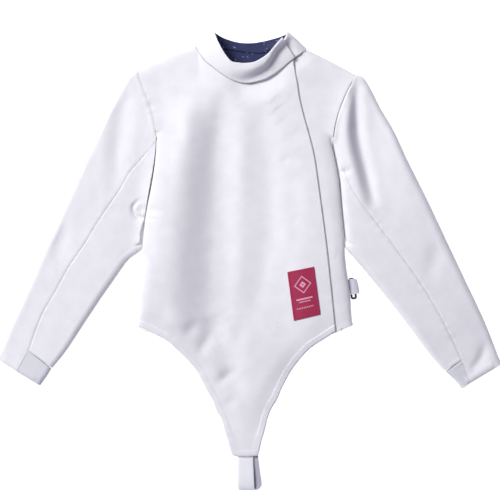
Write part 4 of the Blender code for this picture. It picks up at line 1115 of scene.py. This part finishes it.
# the slider: a rounded oblong frame of moulded plastic with a bar across its middle
slider = {"top": (191.4, -35.0), "bottom": (197.2, -74.6), "width": 11.4, "rim": 3.7, "low": 2.2,
          "thick": 2.4, "corner": 4.2, "edge": 0.7}


def buildSlider():
    selectNone()
    top, bottom = Vector(slider["top"]), Vector(slider["bottom"])
    axis, centre = bottom - top, placed([*((top + bottom) / 2), slider["low"]])
    bpy.ops.mesh.primitive_plane_add(size=1.0, location=centre)
    piece = bpy.context.active_object
    piece.name = piece.data.name = "strapSlider"
    piece.scale = (axis.length * mm, slider["width"] * mm, 1.0)
    piece.rotation_euler = (0.0, 0.0, math.atan2(axis.y, axis.x))
    bpy.ops.object.transform_apply(location=True, rotation=True, scale=True)
    bpy.ops.object.mode_set(mode="EDIT")
    bpy.ops.mesh.select_all(action="SELECT")
    bpy.ops.mesh.bevel(offset=slider["corner"] * mm, segments=6, affect="VERTICES")
    bpy.ops.mesh.select_all(action="SELECT")
    bpy.ops.mesh.inset(thickness=slider["rim"] * mm)
    bpy.ops.mesh.delete(type="FACE")
    bpy.ops.mesh.select_all(action="SELECT")
    bpy.ops.mesh.extrude_region_move(TRANSFORM_OT_translate={"value": (0, 0, slider["thick"] * mm)})
    bpy.ops.mesh.select_all(action="SELECT")
    bpy.ops.mesh.normals_make_consistent(inside=False)
    bpy.ops.object.mode_set(mode="OBJECT")
    soft = piece.modifiers.new("soft edges", "BEVEL")
    soft.width = slider["edge"] * mm
    soft.segments = 3
    soft.limit_method = "ANGLE"
    applyAll(piece)
    bpy.ops.object.shade_smooth_by_angle(angle=math.radians(40))
    piece.data.materials.append(materials["slider"])
    piece.select_set(False)
    return piece


loop = buildSlider()


# the patch lies on the flap and follows its cloth: corners clockwise from the upper left
patch = {"corners": [(73, -24), (122, -14), (134, -102), (85, -114)], "gap": 0.5, "wall": 1.2,
         "cut": (0.052, 0.092), "borderRise": 0.5}


def treeOf(piece):
    return BVHTree.FromObject(piece, bpy.context.evaluated_depsgraph_get())


def dropOnto(tree, x, y):
    hit, normal = tree.ray_cast(Vector((*placed([x, y, 0])[:2], 1.0)), Vector((0, 0, -1)))[:2]
    return None if hit is None else (hit.z / mm, normal)


def buildPatch(tree):
    corners = np.array(patch["corners"], float)
    u, v = np.meshgrid(np.linspace(0, 1, 34), np.linspace(0, 1, 60))
    low = corners[3] + (corners[2] - corners[3]) * u[..., None]
    high = corners[0] + (corners[1] - corners[0]) * u[..., None]
    plan = low + (high - low) * v[..., None]
    outline = np.concatenate([corners, corners[:1]])
    inset = distanceTo(outline, plan[..., 0], plan[..., 1])
    rise = patch["borderRise"] * np.sqrt(np.clip(1 - ((inset - 1.5) / 1.5) ** 2, 0, 1))
    height = np.array([dropOnto(tree, *point)[0] for point in plan.reshape(-1, 2)]).reshape(u.shape)
    grid = np.dstack([plan, height + patch["gap"] + patch["wall"] + rise])
    uv = np.dstack([u * 50.0, v * 89.0]) * mm
    return makeCloth("frontPatch", grid, patch["wall"], materials["patch"], uv), grid


frontTree = treeOf(front)
badge, badgeGrid = buildPatch(frontTree)
print("patch and slider are made")


# one stitch, modelled once: a short length of thread with sunken ends
stitch = {"length": 2.7, "step": 3.4, "width": 0.75, "thick": 0.55}


def oneStitch():
    selectNone()
    bpy.ops.mesh.primitive_cylinder_add(vertices=6, radius=0.5, depth=1.0, rotation=(0, math.pi / 2, 0))
    piece = bpy.context.active_object
    bpy.ops.object.transform_apply(location=True, rotation=True, scale=True)
    bpy.ops.object.mode_set(mode="EDIT")
    bpy.ops.mesh.select_all(action="SELECT")
    bpy.ops.mesh.bisect(plane_co=(-0.2, 0, 0), plane_no=(1, 0, 0))
    bpy.ops.mesh.select_all(action="SELECT")
    bpy.ops.mesh.bisect(plane_co=(0.2, 0, 0), plane_no=(1, 0, 0))
    bpy.ops.object.mode_set(mode="OBJECT")
    points = np.array([vertex.co[:] for vertex in piece.data.vertices])
    ends = np.abs(points[:, 0]) > 0.4
    points[ends, 1:] *= 0.45
    points[ends, 2] -= 0.3
    faces = [tuple(polygon.vertices) for polygon in piece.data.polygons]
    bpy.data.objects.remove(piece, do_unlink=True)
    return points, faces


stitchPoints, stitchFaces = oneStitch()


# copies of it along lines on the cloth; each line is points and outward directions
def sewLines(name, lines, surface, size=1.0):
    points, faces = [], []
    for path, outward in lines:
        path, outward = np.asarray(path, float), np.asarray(outward, float)
        travel = travelAlong(path)
        for at in np.arange(stitch["step"] / 2, travel[-1], stitch["step"] * size):
            here, ahead, behindIt, up = [
                np.array([np.interp(at + step, travel, line[:, k]) for k in range(3)])
                for line, step in ((path, 0.0), (path, 1.2), (path, -1.2), (outward, 0.0))]
            along = (ahead - behindIt) / max(np.linalg.norm(ahead - behindIt), 1e-9)
            side = np.cross(up, along)
            side = side / np.linalg.norm(side)
            up = np.cross(along, side)
            shape = stitchPoints * (stitch["length"] * size, stitch["width"], stitch["thick"])
            first = len(points)
            points += (here + shape[:, :1] * along + shape[:, 1:2] * side + shape[:, 2:] * up).tolist()
            faces += [tuple(first + k for k in face) for face in stitchFaces]
    mesh = bpy.data.meshes.new(name)
    mesh.from_pydata(placed(points).tolist(), [], faces)
    mesh.materials.append(surface)
    piece = bpy.data.objects.new(name, mesh)
    bpy.context.scene.collection.objects.link(piece)
    piece.select_set(True)
    bpy.context.view_layer.objects.active = piece
    bpy.ops.object.shade_smooth_by_angle(angle=math.radians(50))
    piece.select_set(False)
    return piece


def offsetLine(curve, distance):
    along = np.gradient(curve[:, :2], axis=0)
    along = along / np.linalg.norm(along, axis=1, keepdims=True)
    return curve[:, :2] + np.stack([-along[:, 1], along[:, 0]], 1) * distance


# a plan line dropped onto finished cloth, without the points that miss or come too near an edge
def lineOn(tree, plan, keepOff=None, least=0.0, lift=0.12):
    path, outward = [], []
    for x, y in plan:
        if keepOff is not None and distanceTo(keepOff, np.array([x]), np.array([y]))[0] < least:
            continue
        hit = dropOnto(tree, x, y)
        if hit is not None:
            path.append((x, y, hit[0] + lift))
            outward.append(tuple(hit[1]))
    return path, outward


# a line of stitches along a grid of cloth, at one level of it
def gridLine(grid, rows, column, lift=0.1):
    normal = np.cross(np.gradient(grid, axis=1), np.gradient(grid, axis=0))
    normal = normal / np.maximum(np.linalg.norm(normal, axis=2, keepdims=True), 1e-9)
    return (grid + normal * lift)[rows, column], normal[rows, column]


def sewFront():
    lines = []
    for part in (hemRight, hemTip, hemLeft):
        plan = pointsAt(offsetLine(curveThrough(part), 10.4), np.linspace(0.0, 1.0, 160))
        lines.append(lineOn(frontTree, plan, hemLine, 10.0))
    for inset in (2.2, 8.5):
        plan = pointsAt(offsetLine(flapLine, inset), np.linspace(0.006, 0.992, 260))
        lines.append(lineOn(frontTree, plan))
    plan = pointsAt(offsetLine(rightArmLine, -3.0), np.linspace(0.03, 0.97, 80))
    lines.append(lineOn(frontTree, plan))
    return sewLines("frontStitches", lines, materials["thread"])


def sewUnder():
    tree = treeOf(under)
    lines = [lineOn(tree, pointsAt(offsetLine(leftArmLine, 3.0), np.linspace(0.03, 0.97, 80))),
             lineOn(tree, pointsAt(offsetLine(curveThrough(leftHem), 10.4), np.linspace(0.0, 0.93, 60)))]
    return sewLines("underStitches", lines, materials["thread"])


def sewCuff(side, upper, seam, cuffSeam, outer, way):
    tree = treeOf(upper)
    whole, edge = joined(seam, cuffSeam), curveThrough(outer)
    share = [1.0 - 13.0 / lengthOf(whole)]
    start, end = pointsAt(whole, share)[0], pointsAt(edge, share)[0]
    lines = [lineOn(tree, start + (end - start) * np.linspace(0.03, 0.93, 60)[:, None])]
    for inset in (1.6, 6.0):
        plan = pointsAt(offsetLine(whole, way * inset), np.linspace(0.06, 0.985, 260))
        lines.append(lineOn(tree, plan))
    return sewLines("upperStitches" + side, lines, materials["thread"])


def sewCollar():
    count = 12 * collar["between"]
    column = collar["levels"].index(0.07) + len(collar["turnUnder"])
    lines = [gridLine(bandGrid, slice(1, count), column),
             gridLine(bandGrid, slice(1, count), collar["levels"].index(0.93) + len(collar["turnUnder"]))]
    lines.append(gridLine(bandGrid, 1, slice(column, -4)))
    return sewLines("collarStitches", lines, materials["thread"])


def sewPatch():
    corners = np.array(patch["corners"], float)
    centre = corners.mean(axis=0)
    lines = []
    tree = treeOf(badge)
    for k in range(4):
        start, end = corners[k], corners[(k + 1) % 4]
        inward = (centre - (start + end) / 2) / np.linalg.norm(centre - (start + end) / 2)
        plan = start + (end - start) * np.linspace(0.055, 0.945, 60)[:, None] + inward * 3.6
        lines.append(lineOn(tree, plan, lift=0.1))
    return sewLines("patchStitches", lines, materials["redThread"], size=0.8)


seams = {"front": sewFront(), "under": sewUnder(), "collar": sewCollar(), "patch": sewPatch(),
         "right": sewCuff("Right", rightArm[0][0], rightSeam, rightCuffSeam, rightOuter, -1.0),
         "left": sewCuff("Left", leftArm[0][0], leftSeam, leftCuffSeam, leftOuter, 1.0)}
print("seams are sewn")

settle(behind, ["back"])
settle(under, ["front_left"], [seams["under"]])
settle(front, ["front_right"], [seams["front"]])
for side, arm in (("right", rightArm), ("left", leftArm)):
    (upper, upperGrid), (below, belowGrid), (inset, insetGrid) = arm
    settle(upper, ["sleeve_upper_" + side],
           [seams[side]])
    settle(below, ["sleeve_under_" + side])
    settle(inset, ["cuff_inset_" + side])
settle(band, ["collar"], [seams["collar"]])
settle(inside, ["collar_lining"])
settle(strap, ["crotch_strap"])
settle(tab, ["side_strap"])
settle(loop, ["side_slider"])
settle(badge, ["patch"], [seams["patch"]])
print("pieces ride on the frame")


# a plain pale floor, just under the cloth, whose glow is painted light
floor = {"size": 6.0, "height": -0.4}


def addFloor():
    selectNone()
    bpy.ops.mesh.primitive_plane_add(size=floor["size"], location=(0, 0, 0))
    piece = bpy.context.active_object
    piece.name = piece.data.name = "floor"
    bpy.ops.object.mode_set(mode="EDIT")
    bpy.ops.mesh.select_all(action="SELECT")
    bpy.ops.mesh.subdivide(number_cuts=4)
    bpy.ops.transform.translate(value=(0, 0, floor["height"] * mm))
    bpy.ops.object.mode_set(mode="OBJECT")
    piece.data.materials.append(materials["floor"])
    piece.select_set(False)


addFloor()
